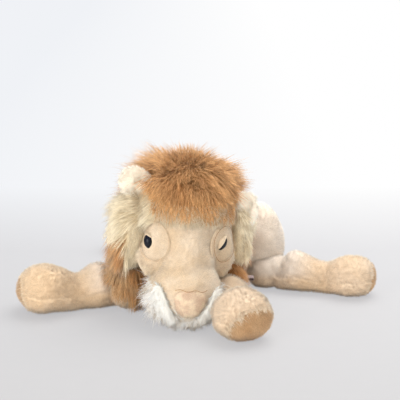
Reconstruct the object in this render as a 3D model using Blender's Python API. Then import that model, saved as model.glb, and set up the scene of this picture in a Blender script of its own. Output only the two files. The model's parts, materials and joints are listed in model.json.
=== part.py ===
"""Plush lion lying on its belly, head on the floor. Metres, +Z up, the face toward -Y.

The origin is on the floor under the belly. The lion's left is +X. Stuffed forms are star-shaped
surfaces or limbs lofted along an axis; each is a cloth shell round its own stuffing.
"""

import math

import bmesh
import bpy
import numpy as np
from mathutils import Matrix, Vector

# Cloth and clearances
CLOTH_THICKNESS = 0.0025
SEAT_GAP = 0.00035
SOCKET_GAP = 0.0009
SWING_GAP = 0.0024
FLOOR_TRIM = 0.0005
CUTTER_REACH = 0.400
BLEND_POWER = 14
SHARP_ANGLE = math.radians(50)

# Torso: the chest dome is centred on the neck pivot
CHEST_RADIUS = 0.060
NECK_X = -0.024
NECK_Y = -0.054
BELLY_WIDTH = 0.138
BELLY_LENGTH = 0.150
BELLY_HEIGHT = 0.114
RUMP_WIDTH = 0.142
RUMP_LENGTH = 0.140
RUMP_HEIGHT = 0.117
RUMP_OFFSET_X = 0.047
RUMP_OFFSET_Y = 0.101
BELLY_PLACE_SHARE = 0.52
TORSO_LIFT = -0.0014

# Haunches: the thigh panels on the sides of the rump
HAUNCH_WIDTH = 0.066
HAUNCH_LENGTH = 0.094
HAUNCH_HEIGHT = 0.100
HAUNCH_LEFT_X = 0.078
HAUNCH_LEFT_Y = 0.03
HAUNCH_RIGHT_X = -0.036
HAUNCH_RIGHT_Y = 0.06

# Neck gusset: a spherical cap of cloth between the chest and the head
GUSSET_GAP = 0.0010
GUSSET_SPREAD = math.radians(32)

# Head, in its own frame: origin at the neck pivot, the face toward -Y
HEAD_YAW = math.radians(8)
HEAD_ROLL = math.radians(4.5)
SKULL_WIDTH = 0.114
SKULL_DEPTH = 0.116
SKULL_HEIGHT = 0.138
SKULL_FORWARD = 0.045
SKULL_RISE = 0.046
MUZZLE_WIDTH = 0.080
MUZZLE_DEPTH = 0.090
MUZZLE_HEIGHT = 0.078
MUZZLE_FORWARD = 0.089
MUZZLE_DROP = 0.018
BRIDGE_WIDTH = 0.066
BRIDGE_DEPTH = 0.080
BRIDGE_HEIGHT = 0.086
BRIDGE_FORWARD = 0.078
BRIDGE_RISE = 0.018
CHEEK_SIZE = 0.062
CHEEK_SPREAD = 0.058
CHEEK_FORWARD = 0.060
CHEEK_RISE = 0.019
HEAD_SOCKET_RADIUS = CHEST_RADIUS + 2 * GUSSET_GAP + CLOTH_THICKNESS + SOCKET_GAP

# Eyes
EYE_SPACING = 0.086
EYE_RISE = 0.035
EYE_WIDTH = 0.0110
EYE_HEIGHT = 0.0170
EYE_DOME = 0.0050
EYE_TILT = math.radians(24)
SHANK_RADIUS = 0.0021
SHANK_LENGTH = 0.0120
WASHER_RADIUS = 0.0065
WASHER_THICKNESS = 0.0014
WASHER_DEPTH = 0.0058
PATCH_WIDTH = 0.041
PATCH_HEIGHT = 0.046
PATCH_THICKNESS = 0.0018
PATCH_HOLE_RADIUS = 0.0032

# Nose panel, lips and chin
NOSE_WIDTH = 0.036
NOSE_FOOT_WIDTH = 0.016
NOSE_HEIGHT = 0.032
NOSE_TOP = -0.006
NOSE_THICKNESS = 0.0034
LIP_RADIUS = 0.0075
LIP_SPREAD = 0.062
LIP_TOP = 0.004
LIP_FOOT = -0.046
LIP_FOOT_SPREAD = 0.022
CHIN_WIDTH = 0.090
CHIN_DEPTH = 0.068
CHIN_HEIGHT = 0.066
CHIN_FORWARD = 0.090
CHIN_DROP = 0.0292

# Mane
CROWN_WIDTH = 0.140
CROWN_DEPTH = 0.132
CROWN_HEIGHT = 0.130
CROWN_FORWARD = 0.030
CROWN_RISE = 0.068
FRINGE_RISE = 0.056
RUFF_WIDTH = 0.056
RUFF_DEPTH = 0.074
RUFF_HEIGHT = 0.100
RUFF_OUTSET = 0.038
RUFF_SPREAD = EYE_SPACING + RUFF_OUTSET
RUFF_FORWARD = 0.046
RUFF_RISE = 0.040
NAPE_FRONT = 0.002
COLLAR_LEFT_SIZE = (0.036, 0.044, 0.044)
COLLAR_LEFT_PLACE = (0.036, -0.090, 0.050)
COLLAR_RIGHT_SIZE = (0.052, 0.044, 0.068)
COLLAR_RIGHT_PLACE = (-0.084, -0.088, 0.0335)

# Ears
EAR_WIDTH = 0.040
EAR_HEIGHT = 0.050
EAR_CUP = 0.0075
EAR_LAYER = 0.0024
EAR_LEFT_ROOT = (0.058, -0.047, 0.080)
EAR_LEFT_TIP = (0.90, -0.12, -0.20)
EAR_RIGHT_ROOT = (-0.052, -0.044, 0.090)
EAR_RIGHT_TIP = (-0.62, -0.16, 0.52)
EAR_SINK = 0.006

# Front legs
FRONT_LENGTH = 0.142
FRONT_BALL_RADIUS = 0.0255
FRONT_NECK_RADIUS = 0.0205
FRONT_ARM_RADIUS = 0.0270
FRONT_WRIST_RADIUS = 0.0220
FRONT_FOOT_HALF_WIDTH = 0.0345
FRONT_FOOT_HALF_HEIGHT = 0.0290
FRONT_STATION_SHARES = (0.15, 0.31, 0.50, 0.755)
SHOULDER_LEFT_X = 0.026
SHOULDER_LEFT_Y = -0.082
SHOULDER_RIGHT_X = -0.076
SHOULDER_RIGHT_Y = -0.064
FRONT_LEFT_HEADING = math.radians(-77)
FRONT_RIGHT_HEADING = math.radians(196.5)

# Hind legs
HIND_LENGTH = 0.139
HIND_BALL_RADIUS = 0.0245
HIND_NECK_RADIUS = 0.0205
HIND_THIGH_RADIUS = 0.0250
HIND_WRIST_RADIUS = 0.0195
HIND_FOOT_HALF_WIDTH = 0.0290
HIND_FOOT_HALF_HEIGHT = 0.0245
HIND_STATION_SHARES = (0.16, 0.27, 0.54, 0.78)
HIP_LEFT_X = 0.087
HIP_LEFT_Y = 0.001
HIP_RIGHT_X = -0.054
HIP_RIGHT_Y = 0.066
HIND_LEFT_HEADING = math.radians(-17)
HIND_RIGHT_HEADING = math.radians(112)

# Feet and soles
SOLE_DEPTH = 0.0085
SOLE_TILT = math.radians(-12)
LEFT_PAW_SOLE_NORMAL = (0.44, -0.74, -0.50)
LEFT_PAW_SOLE_REACH = 0.0215
LIMB_MOUTH_RADIUS = 0.0090

# Tail
TAIL_RADIUS = 0.0085
TAIL_BALL_RADIUS = 0.0115
TAIL_ROOT_X = 0.0375
TAIL_ROOT_Y = 0.1075
TAIL_ROOT_Z = 0.027
TAIL_LENGTH = 0.062
TAIL_HEADING = math.radians(52)
TAIL_DROP = 0.016
TUFT_LENGTH = 0.034
TUFT_RADIUS = 0.0135

# Label
LABEL_WIDTH = 0.012
LABEL_LENGTH = 0.020
LABEL_THICKNESS = 0.0012
LABEL_PLACE = (0.0605, -0.026, 0.02)

# Joint limits in degrees, and the shares of a swing at which pieces that pass each other are cut
NOD_LIMIT = -20
TURN_LIMIT = -15
SHOULDER_LEFT_SWING = (0, 50)
SHOULDER_RIGHT_SWING = (-30, 5)
HIP_LEFT_SWING = (-25, 12)
HIP_RIGHT_SWING = (-10, 30)
EAR_SWING = (-8, 10)
LEAST_SWING = 1
WIDE_SWING = 26
PASS_SHARES = (0, 0.5, 1)
FINE_SHARES = (0, 0.2, 0.4, 0.6, 0.8, 1)

# Shape powers and shares
BLUNT_POWER = 2.4
NOSE_SQUARENESS = 0.7
TUFT_LEAN = 0.7
PANEL_SHARES = (0.25, 0.5, 0.75, 1.0)
LIP_STAND_SHARE = 0.1
LIP_END_SHARE = 0.35

# Counts of faces round and along the forms
TORSO_COUNTS = (24, 12)
HEAD_COUNTS = (24, 14)
CROWN_COUNTS = (18, 10)
LINING_COUNTS = (13, 8)
ROUND_COUNTS = (14, 8)
BALL_COUNTS = (14, 8)
LIMB_SIDES = 12
LIMB_RINGS = 8
LINING_SIDES = 8
LINING_RINGS = 6
GUSSET_RINGS = 4
LIP_RINGS = 8
TAIL_RINGS = 7
FACE_STEPS = 12

# Name starts of what the neck moves
HEAD_PIECES = (
    "neck", "head", "eye", "washer", "nose", "lip", "chin", "ruff", "mane_crown", "mane_nape",
)

# Each ear's side, name, root and tip
EARS = (
    (1, "left", EAR_LEFT_ROOT, EAR_LEFT_TIP),
    (-1, "right", EAR_RIGHT_ROOT, EAR_RIGHT_TIP),
)

UP = Vector((0, 0, 1))
NECK = Vector((NECK_X, NECK_Y, CHEST_RADIUS))
HEAD_TURN = Matrix.Rotation(HEAD_YAW, 4, "Z") @ Matrix.Rotation(HEAD_ROLL, 4, "Y")
HEAD_FRAME = Matrix.Translation(NECK) @ HEAD_TURN


def clear_scene():
    """Empties the startup scene."""
    for obj in list(bpy.data.objects):
        bpy.data.objects.remove(obj, do_unlink=True)


def material(name, colour, roughness, metallic=0.0):
    """A plain Principled material."""
    made = bpy.data.materials.new(name)
    made.use_nodes = True
    shader = made.node_tree.nodes["Principled BSDF"]
    shader.inputs["Base Color"].default_value = (*colour, 1.0)
    shader.inputs["Roughness"].default_value = roughness
    shader.inputs["Metallic"].default_value = metallic
    made.diffuse_color = (*colour, 1.0)
    return made


def body_plush():
    return material("body_plush", (0.80, 0.62, 0.42), 0.95)


def face_plush():
    return material("face_plush", (0.83, 0.67, 0.50), 0.95)


def cream_pile():
    return material("cream_pile", (0.72, 0.61, 0.42), 0.97)


def tan_pile():
    return material("tan_pile", (0.49, 0.25, 0.10), 0.97)


def rust_pile():
    return material("rust_pile", (0.42, 0.20, 0.07), 0.97)


def white_pile():
    return material("white_pile", (0.86, 0.84, 0.78), 0.95)


def sole_plush():
    return material("sole_plush", (0.56, 0.34, 0.17), 0.95)


def ear_plush():
    return material("ear_plush", (0.80, 0.74, 0.62), 0.95)


def fibre_fill():
    return material("fibre_fill", (0.92, 0.92, 0.90), 1.0)


def eye_plastic():
    return material("eye_plastic", (0.010, 0.013, 0.030), 0.12)


def washer_plastic():
    return material("washer_plastic", (0.85, 0.85, 0.83), 0.45)


def label_ribbon():
    return material("label_ribbon", (0.55, 0.50, 0.50), 0.7)


def mesh_object(name, points, faces, finish=None):
    """A closed mesh object from arrays, faces turned outward."""
    mesh = bpy.data.meshes.new(name)
    mesh.from_pydata([tuple(p) for p in points], [], [tuple(f) for f in faces])
    shape = bmesh.new()
    shape.from_mesh(mesh)
    bmesh.ops.recalc_face_normals(shape, faces=shape.faces)
    shape.to_mesh(mesh)
    shape.free()
    obj = bpy.data.objects.new(name, mesh)
    bpy.context.scene.collection.objects.link(obj)
    if finish:
        mesh.materials.append(finish)
    return obj


def capped_rings(rings, first, last):
    """Points and faces of a closed form: a start point, equal rings, an end point."""
    count, sides, _ = rings.shape
    points = np.vstack([first[None], rings.reshape(-1, 3), last[None]])
    faces = []
    for k in range(sides):
        after = (k + 1) % sides
        faces.append((0, 1 + k, 1 + after))
        for i in range(count - 1):
            near, far = 1 + i * sides, 1 + (i + 1) * sides
            faces.append((near + k, far + k, far + after))
            faces.append((near + k, far + after, near + after))
        far = 1 + (count - 1) * sides
        faces.append((far + k, len(points) - 1, far + after))
    return points, faces


def sphere_directions(counts):
    """Unit directions on rings round the Y axis, and the two poles."""
    columns, rows = counts
    tilt = np.arange(1, rows) * math.pi / rows
    turn = np.arange(columns) * 2 * math.pi / columns
    tilt, turn = np.meshgrid(tilt, turn, indexing="ij")
    rings = np.stack([np.sin(tilt) * np.cos(turn), -np.cos(tilt), np.sin(tilt) * np.sin(turn)], axis=-1)
    return rings, np.array([0.0, -1.0, 0.0]), np.array([0.0, 1.0, 0.0])


def lobe_reach(origin, directions, centre, radii):
    """How far a ray from origin goes until it leaves an ellipsoid, or zero where it misses."""
    start = (origin - centre) / radii
    way = directions / radii
    square = (way * way).sum(-1)
    along = (way * start).sum(-1)
    inside = along**2 - square * ((start * start).sum() - 1)
    reach = (-along + np.sqrt(np.maximum(inside, 0))) / square
    return np.where(inside > 0, np.maximum(reach, 0), 0)


def star_reach(origin, directions, lobes):
    """The smooth union of the lobes: the power mean of their reaches."""
    total = 0
    for centre, radii in lobes:
        total = total + lobe_reach(origin, directions, centre, radii) ** BLEND_POWER
    return total ** (1 / BLEND_POWER)


def star_form(name, origin, lobes, counts, grow=0.0, frame=None, finish=None):
    """A star-shaped solid round origin; grow moves its surface out."""
    rings, first, last = sphere_directions(counts)
    made = []
    for way in (rings, first, last):
        made.append(origin + way * (star_reach(origin, way, lobes) + grow)[..., None])
    points, faces = capped_rings(made[0], made[1], made[2])
    if frame is not None:
        turn = np.array(frame)
        points = points @ turn[:3, :3].T + turn[:3, 3]
    return mesh_object(name, points, faces, finish)


def ellipsoid(name, centre, size, counts, frame=None, finish=None, grow=0.0):
    """An ellipsoid of full size, at centre in a frame."""
    centre = np.array(centre, float)
    radii = np.array(size, float) / 2 + grow
    return star_form(name, centre, [(centre, radii)], counts, frame=frame, finish=finish)


def bake(obj):
    """Applies the object's modifiers to its mesh."""
    graph = bpy.context.evaluated_depsgraph_get()
    made = bpy.data.meshes.new_from_object(obj.evaluated_get(graph))
    obj.modifiers.clear()
    old = obj.data
    obj.data = made
    bpy.data.meshes.remove(old)


def boolean(obj, other, operation):
    step = obj.modifiers.new(operation, "BOOLEAN")
    step.operation = operation
    step.object = other
    bake(obj)


def cut(obj, *others, keep=False):
    """Cuts the others out of obj and, unless they are kept, removes them."""
    for other in others:
        boolean(obj, other, "DIFFERENCE")
        if not keep:
            remove(other)


def remove(obj):
    mesh = obj.data
    bpy.data.objects.remove(obj, do_unlink=True)
    bpy.data.meshes.remove(mesh)


def keep_largest(obj):
    """Drops crumbs that a cut left beside the main body."""
    shape = bmesh.new()
    shape.from_mesh(obj.data)
    bmesh.ops.remove_doubles(shape, verts=shape.verts, dist=SEAT_GAP / 100)
    left = set(shape.verts)
    groups = []
    while left:
        group = {left.pop()}
        edge = list(group)
        while edge:
            near = {e.other_vert(v) for v in edge for e in v.link_edges} - group
            group |= near
            edge = list(near)
        left -= group
        groups.append(group)
    main = max(groups, key=len)
    bmesh.ops.delete(shape, geom=[v for v in shape.verts if v not in main], context="VERTS")
    shape.to_mesh(obj.data)
    shape.free()


def finish_solid(obj):
    keep_largest(obj)
    obj.data.shade_smooth()
    obj.data.set_sharp_from_angle(angle=SHARP_ANGLE)
    return obj


def half_space(name, point, normal):
    """A large block on the side of the plane that the normal points to."""
    normal = Vector(normal).normalized()
    place = Matrix.Translation(Vector(point) + normal * CUTTER_REACH)
    turn = normal.to_track_quat("Z", "Y").to_matrix().to_4x4()
    mesh = bpy.data.meshes.new(name)
    shape = bmesh.new()
    bmesh.ops.create_cube(shape, size=2 * CUTTER_REACH, matrix=place @ turn)
    shape.to_mesh(mesh)
    shape.free()
    obj = bpy.data.objects.new(name, mesh)
    bpy.context.scene.collection.objects.link(obj)
    return obj


def floor_block():
    return half_space("floor_block", (0, 0, 0), (0, 0, -1))


def ball(name, centre, radius, counts):
    return ellipsoid(name, centre, (2 * radius,) * 3, counts)


def rod(name, start, end, radius):
    """A closed cylinder from start to end."""
    start, end = Vector(start), Vector(end)
    axis = end - start
    place = Matrix.Translation((start + end) / 2) @ axis.to_track_quat("Z", "Y").to_matrix().to_4x4()
    mesh = bpy.data.meshes.new(name)
    shape = bmesh.new()
    sizes = {"radius1": radius, "radius2": radius, "depth": axis.length}
    bmesh.ops.create_cone(shape, cap_ends=True, segments=LINING_SIDES, matrix=place, **sizes)
    shape.to_mesh(mesh)
    shape.free()
    obj = bpy.data.objects.new(name, mesh)
    bpy.context.scene.collection.objects.link(obj)
    return obj


# Torso


def torso_lobes():
    """Chest, belly and rump ellipsoids, resting on the floor."""
    rump = np.array([NECK_X + RUMP_OFFSET_X, NECK_Y + RUMP_OFFSET_Y, RUMP_HEIGHT / 2 + TORSO_LIFT])
    belly = np.array(
        [
            NECK_X + RUMP_OFFSET_X * BELLY_PLACE_SHARE,
            NECK_Y + RUMP_OFFSET_Y * BELLY_PLACE_SHARE,
            BELLY_HEIGHT / 2 + TORSO_LIFT,
        ]
    )
    return [
        (np.array(NECK), np.full(3, CHEST_RADIUS)),
        (belly, np.array([BELLY_WIDTH, BELLY_LENGTH, BELLY_HEIGHT]) / 2),
        (rump, np.array([RUMP_WIDTH, RUMP_LENGTH, RUMP_HEIGHT]) / 2),
    ]


def torso_form(name, counts, grow=0.0, finish=None):
    lobes = torso_lobes()
    return star_form(name, lobes[1][0], lobes, counts, grow, finish=finish)


def haunch_form(name, side, grow=0.0, finish=None, counts=None):
    x, y = (HAUNCH_LEFT_X, HAUNCH_LEFT_Y) if side == "left" else (HAUNCH_RIGHT_X, HAUNCH_RIGHT_Y)
    centre = (x, y, HAUNCH_HEIGHT / 2 + FLOOR_TRIM)
    size = (HAUNCH_WIDTH, HAUNCH_LENGTH, HAUNCH_HEIGHT)
    return ellipsoid(name, centre, size, counts or ROUND_COUNTS, finish=finish, grow=grow)


def socket_balls(grow):
    """One ball for each limb that sits in the torso."""
    made = [ball("socket", spec["pivot"], spec["ball"] + grow, BALL_COUNTS) for spec in LIMBS]
    made.append(ball("socket_tail", tail_root(), TAIL_BALL_RADIUS + grow, BALL_COUNTS))
    return made


def build_torso(plush, fill):
    """The torso's cloth shell, opened by the limbs' sockets, round its stuffing."""
    skin = torso_form("torso_skin", TORSO_COUNTS, finish=plush)
    cut(skin, torso_form("lining", LINING_COUNTS, -CLOTH_THICKNESS))
    cut(skin, *socket_balls(SOCKET_GAP), floor_block())
    finish_solid(skin)
    stuffing = torso_form("torso_stuffing", LINING_COUNTS, -CLOTH_THICKNESS - SEAT_GAP, finish=fill)
    cut(stuffing, *socket_balls(SOCKET_GAP + SEAT_GAP))
    finish_solid(stuffing)


def build_haunch(side, plush):
    """A stuffed thigh panel on the rump, hollowed for the hip."""
    haunch = haunch_form("haunch_" + side, side, finish=plush)
    cut(haunch, torso_form("torso_clearance", TORSO_COUNTS, SEAT_GAP))
    cut(haunch, *socket_balls(SOCKET_GAP), floor_block())
    finish_solid(haunch)


# Limbs


def limb(name, pivot, heading, length, radii, foot, shares, swing, sole=None):
    """The sizes of one leg: root ball, neck, swell and wrist radii, foot, and swing in degrees."""
    root, neck, swell, wrist = radii
    return {
        "name": name,
        "pivot": (*pivot, root - FLOOR_TRIM),
        "heading": heading,
        "length": length,
        "ball": root,
        "stations": np.array(shares) * length,
        "widths": np.array([neck, swell, wrist, foot[0]]),
        "heights": np.array([neck, swell, wrist, foot[1]]),
        "swing": swing,
        "sole": sole,
    }


FRONT_RADII = (FRONT_BALL_RADIUS, FRONT_NECK_RADIUS, FRONT_ARM_RADIUS, FRONT_WRIST_RADIUS)
FRONT_FOOT = (FRONT_FOOT_HALF_WIDTH, FRONT_FOOT_HALF_HEIGHT)
HIND_RADII = (HIND_BALL_RADIUS, HIND_NECK_RADIUS, HIND_THIGH_RADIUS, HIND_WRIST_RADIUS)
HIND_FOOT = (HIND_FOOT_HALF_WIDTH, HIND_FOOT_HALF_HEIGHT)
LIMBS = [
    limb(
        "front_leg_left", (SHOULDER_LEFT_X, SHOULDER_LEFT_Y), FRONT_LEFT_HEADING, FRONT_LENGTH,
        FRONT_RADII, FRONT_FOOT, FRONT_STATION_SHARES, SHOULDER_LEFT_SWING, LEFT_PAW_SOLE_NORMAL,
    ),
    limb(
        "front_leg_right", (SHOULDER_RIGHT_X, SHOULDER_RIGHT_Y), FRONT_RIGHT_HEADING, FRONT_LENGTH,
        FRONT_RADII, FRONT_FOOT, FRONT_STATION_SHARES, SHOULDER_RIGHT_SWING,
    ),
    limb(
        "hind_leg_left", (HIP_LEFT_X, HIP_LEFT_Y), HIND_LEFT_HEADING, HIND_LENGTH,
        HIND_RADII, HIND_FOOT, HIND_STATION_SHARES, HIP_LEFT_SWING,
    ),
    limb(
        "hind_leg_right", (HIP_RIGHT_X, HIP_RIGHT_Y), HIND_RIGHT_HEADING, HIND_LENGTH,
        HIND_RADII, HIND_FOOT, HIND_STATION_SHARES, HIP_RIGHT_SWING,
    ),
]


def eased(at, stations, values):
    """Values between stations, eased at both ends of each stretch."""
    index = np.clip(np.searchsorted(stations, at) - 1, 0, len(stations) - 2)
    part = np.clip((at - stations[index]) / (stations[index + 1] - stations[index]), 0, 1)
    part = part * part * (3 - 2 * part)
    return values[index] + part * (values[index + 1] - values[index])


def limb_rings(spec, sides, along, shrink):
    """Rings of a leg: a sphere at the root, eased radii to the foot, and a blunt round end."""
    root = spec["ball"] - shrink
    end = spec["length"] - shrink
    stations, widths, heights = spec["stations"], spec["widths"] - shrink, spec["heights"] - shrink
    leave = math.sqrt(max(root**2 - widths[0] ** 2, 0))
    ball_angles = np.linspace(math.pi, math.acos(leave / root), along // 2 + 1)[1:]
    middle = np.linspace(leave, stations[-1], along + 1)[1:]
    shut = np.sin(np.linspace(0, math.pi / 2, along // 2 + 2)[1:-1])
    at = np.concatenate([root * np.cos(ball_angles), middle, stations[-1] + (end - stations[-1]) * shut])
    width, height = eased(at, stations, widths), eased(at, stations, heights)
    count = len(ball_angles)
    width[:count] = height[:count] = root * np.sin(ball_angles)
    blunt = (1 - shut**BLUNT_POWER) ** (1 / BLUNT_POWER)
    width[-len(shut):] *= blunt
    height[-len(shut):] *= blunt
    root_height = spec["ball"]
    floor_heights = np.concatenate([[root_height], spec["heights"]])
    middle_z = eased(at, np.concatenate([[leave], stations]), floor_heights) - FLOOR_TRIM
    turn = np.arange(sides) * 2 * math.pi / sides
    ahead = np.array([math.cos(spec["heading"]), math.sin(spec["heading"])])
    aside = np.array([-ahead[1], ahead[0]])
    flat = at[:, None, None] * ahead + (width[:, None] * np.cos(turn))[..., None] * aside
    rings = np.empty((len(at), sides, 3))
    rings[..., :2] = np.array(spec["pivot"][:2]) + flat
    rings[..., 2] = middle_z[:, None] + height[:, None] * np.sin(turn)
    first = np.array([*(np.array(spec["pivot"][:2]) - root * ahead), middle_z[0]])
    last = np.array([*(np.array(spec["pivot"][:2]) + end * ahead), middle_z[-1]])
    return rings, first, last


def limb_form(name, spec, sides, along, shrink=0.0, finish=None):
    return mesh_object(name, *capped_rings(*limb_rings(spec, sides, along, shrink)), finish)


def sole_plane(spec):
    """A point on the sole's plane and the plane's outward normal."""
    ahead = Vector((math.cos(spec["heading"]), math.sin(spec["heading"]), 0))
    pivot = Vector((*spec["pivot"][:2], spec["heights"][-1]))
    if spec["sole"]:
        normal = Vector(spec["sole"]).normalized()
        return pivot + ahead * spec["stations"][-1] + normal * LEFT_PAW_SOLE_REACH, normal
    normal = (ahead * math.cos(SOLE_TILT) + Vector((0, 0, math.sin(SOLE_TILT)))).normalized()
    return pivot + ahead * (spec["length"] - SOLE_DEPTH), normal


def joined(forms):
    """The union of the forms, as the first of them."""
    first = forms[0]
    for form in forms[1:]:
        boolean(first, form, "UNION")
        remove(form)
    return first


def torso_blocker(spec, grow):
    """The torso side of a leg at rest and at the leg's limits, in one form hollowed at its socket."""
    forms = []
    halves = [limit / 2 for limit in spec["swing"] if abs(limit) > WIDE_SWING]
    for limit in (0, *spec["swing"], *halves):
        met = [torso_form("torso_clearance", LINING_COUNTS, grow + SWING_GAP)]
        if spec["name"].startswith("hind"):
            side = spec["name"].split("_")[-1]
            met.append(haunch_form("haunch_clearance", side, grow + SWING_GAP, counts=LINING_COUNTS))
        if not forms or abs(limit) > LEAST_SWING:
            forms += swung(met, spec["pivot"], -limit)
        else:
            for form in met:
                remove(form)
    whole = joined(forms)
    cut(whole, ball("socket", spec["pivot"], spec["ball"] + SEAT_GAP / 2 + SOCKET_GAP - grow, BALL_COUNTS))
    return whole


def head_blockers(grow):
    """The forms on the head that lie against the left front leg."""
    return [
        head_form("head_clearance", HEAD_COUNTS, grow),
        head_form("lining_clearance", LINING_COUNTS, grow - CLOTH_THICKNESS),
        chin_form("chin_clearance", grow),
        lip_form("lip_clearance", 1, grow),
        ruff_form("ruff_clearance", 1, grow=grow),
    ]


def swung(forms, pivot, degrees):
    """The forms turned about an upright axis, as a piece that swings the other way meets them."""
    return turned_about(forms, Vector(pivot), "Z", degrees)


def turned_about(forms, pivot, axis, degrees):
    """The forms turned about an axis through pivot."""
    turn = Matrix.Rotation(math.radians(degrees), 4, axis)
    spin = Matrix.Translation(pivot) @ turn @ Matrix.Translation(-pivot)
    for form in forms:
        form.data.transform(spin)
    return forms


def leg_blockers(spec, grow):
    """What a leg is cut by: the torso, and the head in the left front leg's path."""
    made = [torso_blocker(spec, grow)]
    if spec["name"] == "front_leg_left":
        for share in PASS_SHARES:
            made += swung(head_blockers(grow), spec["pivot"], -spec["swing"][1] * share)
        for share in FINE_SHARES[1:]:
            lifted = [chin_form("chin_clearance", grow + SWING_GAP), lip_form("lip_clearance", 1, grow + SWING_GAP)]
            made += turned_about(lifted, NECK, nod_axis(), NOD_LIMIT * share)
    return made


def build_leg(spec, plush, sole_finish, fill):
    """A leg's cloth shell with its mouth at the root, its stuffing and its sole."""
    name = spec["name"]
    point, normal = sole_plane(spec)
    pivot = Vector(spec["pivot"])
    ahead = Vector((math.cos(spec["heading"]), math.sin(spec["heading"]), 0))

    skin = limb_form(name + "_skin", spec, LIMB_SIDES, LIMB_RINGS, finish=plush)
    cut(skin, *leg_blockers(spec, SOCKET_GAP))
    lining = limb_form("lining", spec, LINING_SIDES, LINING_RINGS, CLOTH_THICKNESS)
    cut(lining, *leg_blockers(spec, SOCKET_GAP + CLOTH_THICKNESS))
    cut(lining, half_space("sole_side", point - normal * CLOTH_THICKNESS, normal))
    cut(skin, lining, half_space("sole_side", point, normal))
    cut(skin, rod("mouth", pivot, pivot - ahead * 2 * spec["ball"], LIMB_MOUTH_RADIUS), floor_block())
    finish_solid(skin)

    inset = CLOTH_THICKNESS + SEAT_GAP
    stuffing = limb_form(name + "_stuffing", spec, LINING_SIDES, LINING_RINGS, inset, fill)
    cut(stuffing, half_space("sole_side", point - normal * inset, normal))
    cut(stuffing, *leg_blockers(spec, SOCKET_GAP + inset))
    finish_solid(stuffing)

    sole = limb_form(name + "_sole", spec, LIMB_SIDES, LIMB_RINGS, finish=sole_finish)
    cut(sole, half_space("foot_side", point + normal * SEAT_GAP, -normal), floor_block())
    finish_solid(sole)


# Head


def head_lobes():
    """Skull, bridge, muzzle and cheeks in the head's frame."""
    cheek = np.full(3, CHEEK_SIZE / 2)
    return [
        (
            np.array([0, -SKULL_FORWARD, SKULL_RISE]),
            np.array([SKULL_WIDTH, SKULL_DEPTH, SKULL_HEIGHT]) / 2,
        ),
        (
            np.array([0, -MUZZLE_FORWARD, -MUZZLE_DROP]),
            np.array([MUZZLE_WIDTH, MUZZLE_DEPTH, MUZZLE_HEIGHT]) / 2,
        ),
        (
            np.array([0, -BRIDGE_FORWARD, BRIDGE_RISE]),
            np.array([BRIDGE_WIDTH, BRIDGE_DEPTH, BRIDGE_HEIGHT]) / 2,
        ),
        (np.array([CHEEK_SPREAD / 2, -CHEEK_FORWARD, CHEEK_RISE]), cheek),
        (np.array([-CHEEK_SPREAD / 2, -CHEEK_FORWARD, CHEEK_RISE]), cheek),
    ]


def head_centre():
    return np.array([0, -(SKULL_FORWARD + MUZZLE_FORWARD) / 2, (SKULL_RISE - MUZZLE_DROP) / 2])


def head_form(name, counts, grow=0.0, finish=None):
    return star_form(name, head_centre(), head_lobes(), counts, grow, frame=HEAD_FRAME, finish=finish)


def head_clearance():
    return head_form("head_clearance", HEAD_COUNTS, SEAT_GAP)


def neck_ball():
    return ball("neck_clearance", NECK, HEAD_SOCKET_RADIUS, TORSO_COUNTS)


def on_head(at):
    """The place where the ray from the head's centre through at leaves the head."""
    centre = head_centre()
    way = (at - centre) / np.linalg.norm(at - centre)
    return centre + way * star_reach(centre, way[None], head_lobes())[0]


def face_point(x, z, offset=0.0):
    """The place on the face in front of (x, z), in the head's frame, and the outward normal."""
    found = np.array([x, head_centre()[1] - SKULL_DEPTH / 2, z])
    for _ in range(FACE_STEPS):
        found = on_head(np.array([x, found[1], z]))
    step = EYE_WIDTH / 4
    across = on_head(found + [step, 0, 0]) - on_head(found - [step, 0, 0])
    upward = on_head(found + [0, 0, step]) - on_head(found - [0, 0, step])
    normal = np.cross(across, upward)
    normal = normal / np.linalg.norm(normal)
    return found + normal * offset, normal


def build_head(plush, fill):
    """The head's cloth shell, opened at the neck and for the eye shanks, round its stuffing."""
    skin = head_form("head_skin", HEAD_COUNTS, finish=plush)
    lining = head_form("lining", LINING_COUNTS, -CLOTH_THICKNESS)
    cut(lining, *torso_swept(SOCKET_GAP + CLOTH_THICKNESS))
    cut(skin, lining, neck_ball(), *torso_swept(SOCKET_GAP))
    inset = CLOTH_THICKNESS + SEAT_GAP
    stuffing = head_form("head_stuffing", LINING_COUNTS, -inset, finish=fill)
    cut(stuffing, *torso_swept(SOCKET_GAP + inset))
    cut(stuffing, ball("neck_clearance", NECK, HEAD_SOCKET_RADIUS + CLOTH_THICKNESS, TORSO_COUNTS))
    for side in (1, -1):
        place, out = eye_axis(side)
        outer, inner = place + out * WASHER_RADIUS, place - out * WASHER_RADIUS
        cut(skin, rod("shank_hole", outer, inner, SHANK_RADIUS + SEAT_GAP))
        inner = place - out * (SHANK_LENGTH + SEAT_GAP)
        cut(stuffing, rod("shank_pocket", place, inner, SHANK_RADIUS + 2 * SEAT_GAP))
        back = place - out * (WASHER_DEPTH + WASHER_THICKNESS + SEAT_GAP)
        cut(stuffing, rod("washer_pocket", place + out * WASHER_RADIUS, back, WASHER_RADIUS + SEAT_GAP))
    finish_solid(skin)
    finish_solid(stuffing)


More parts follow.
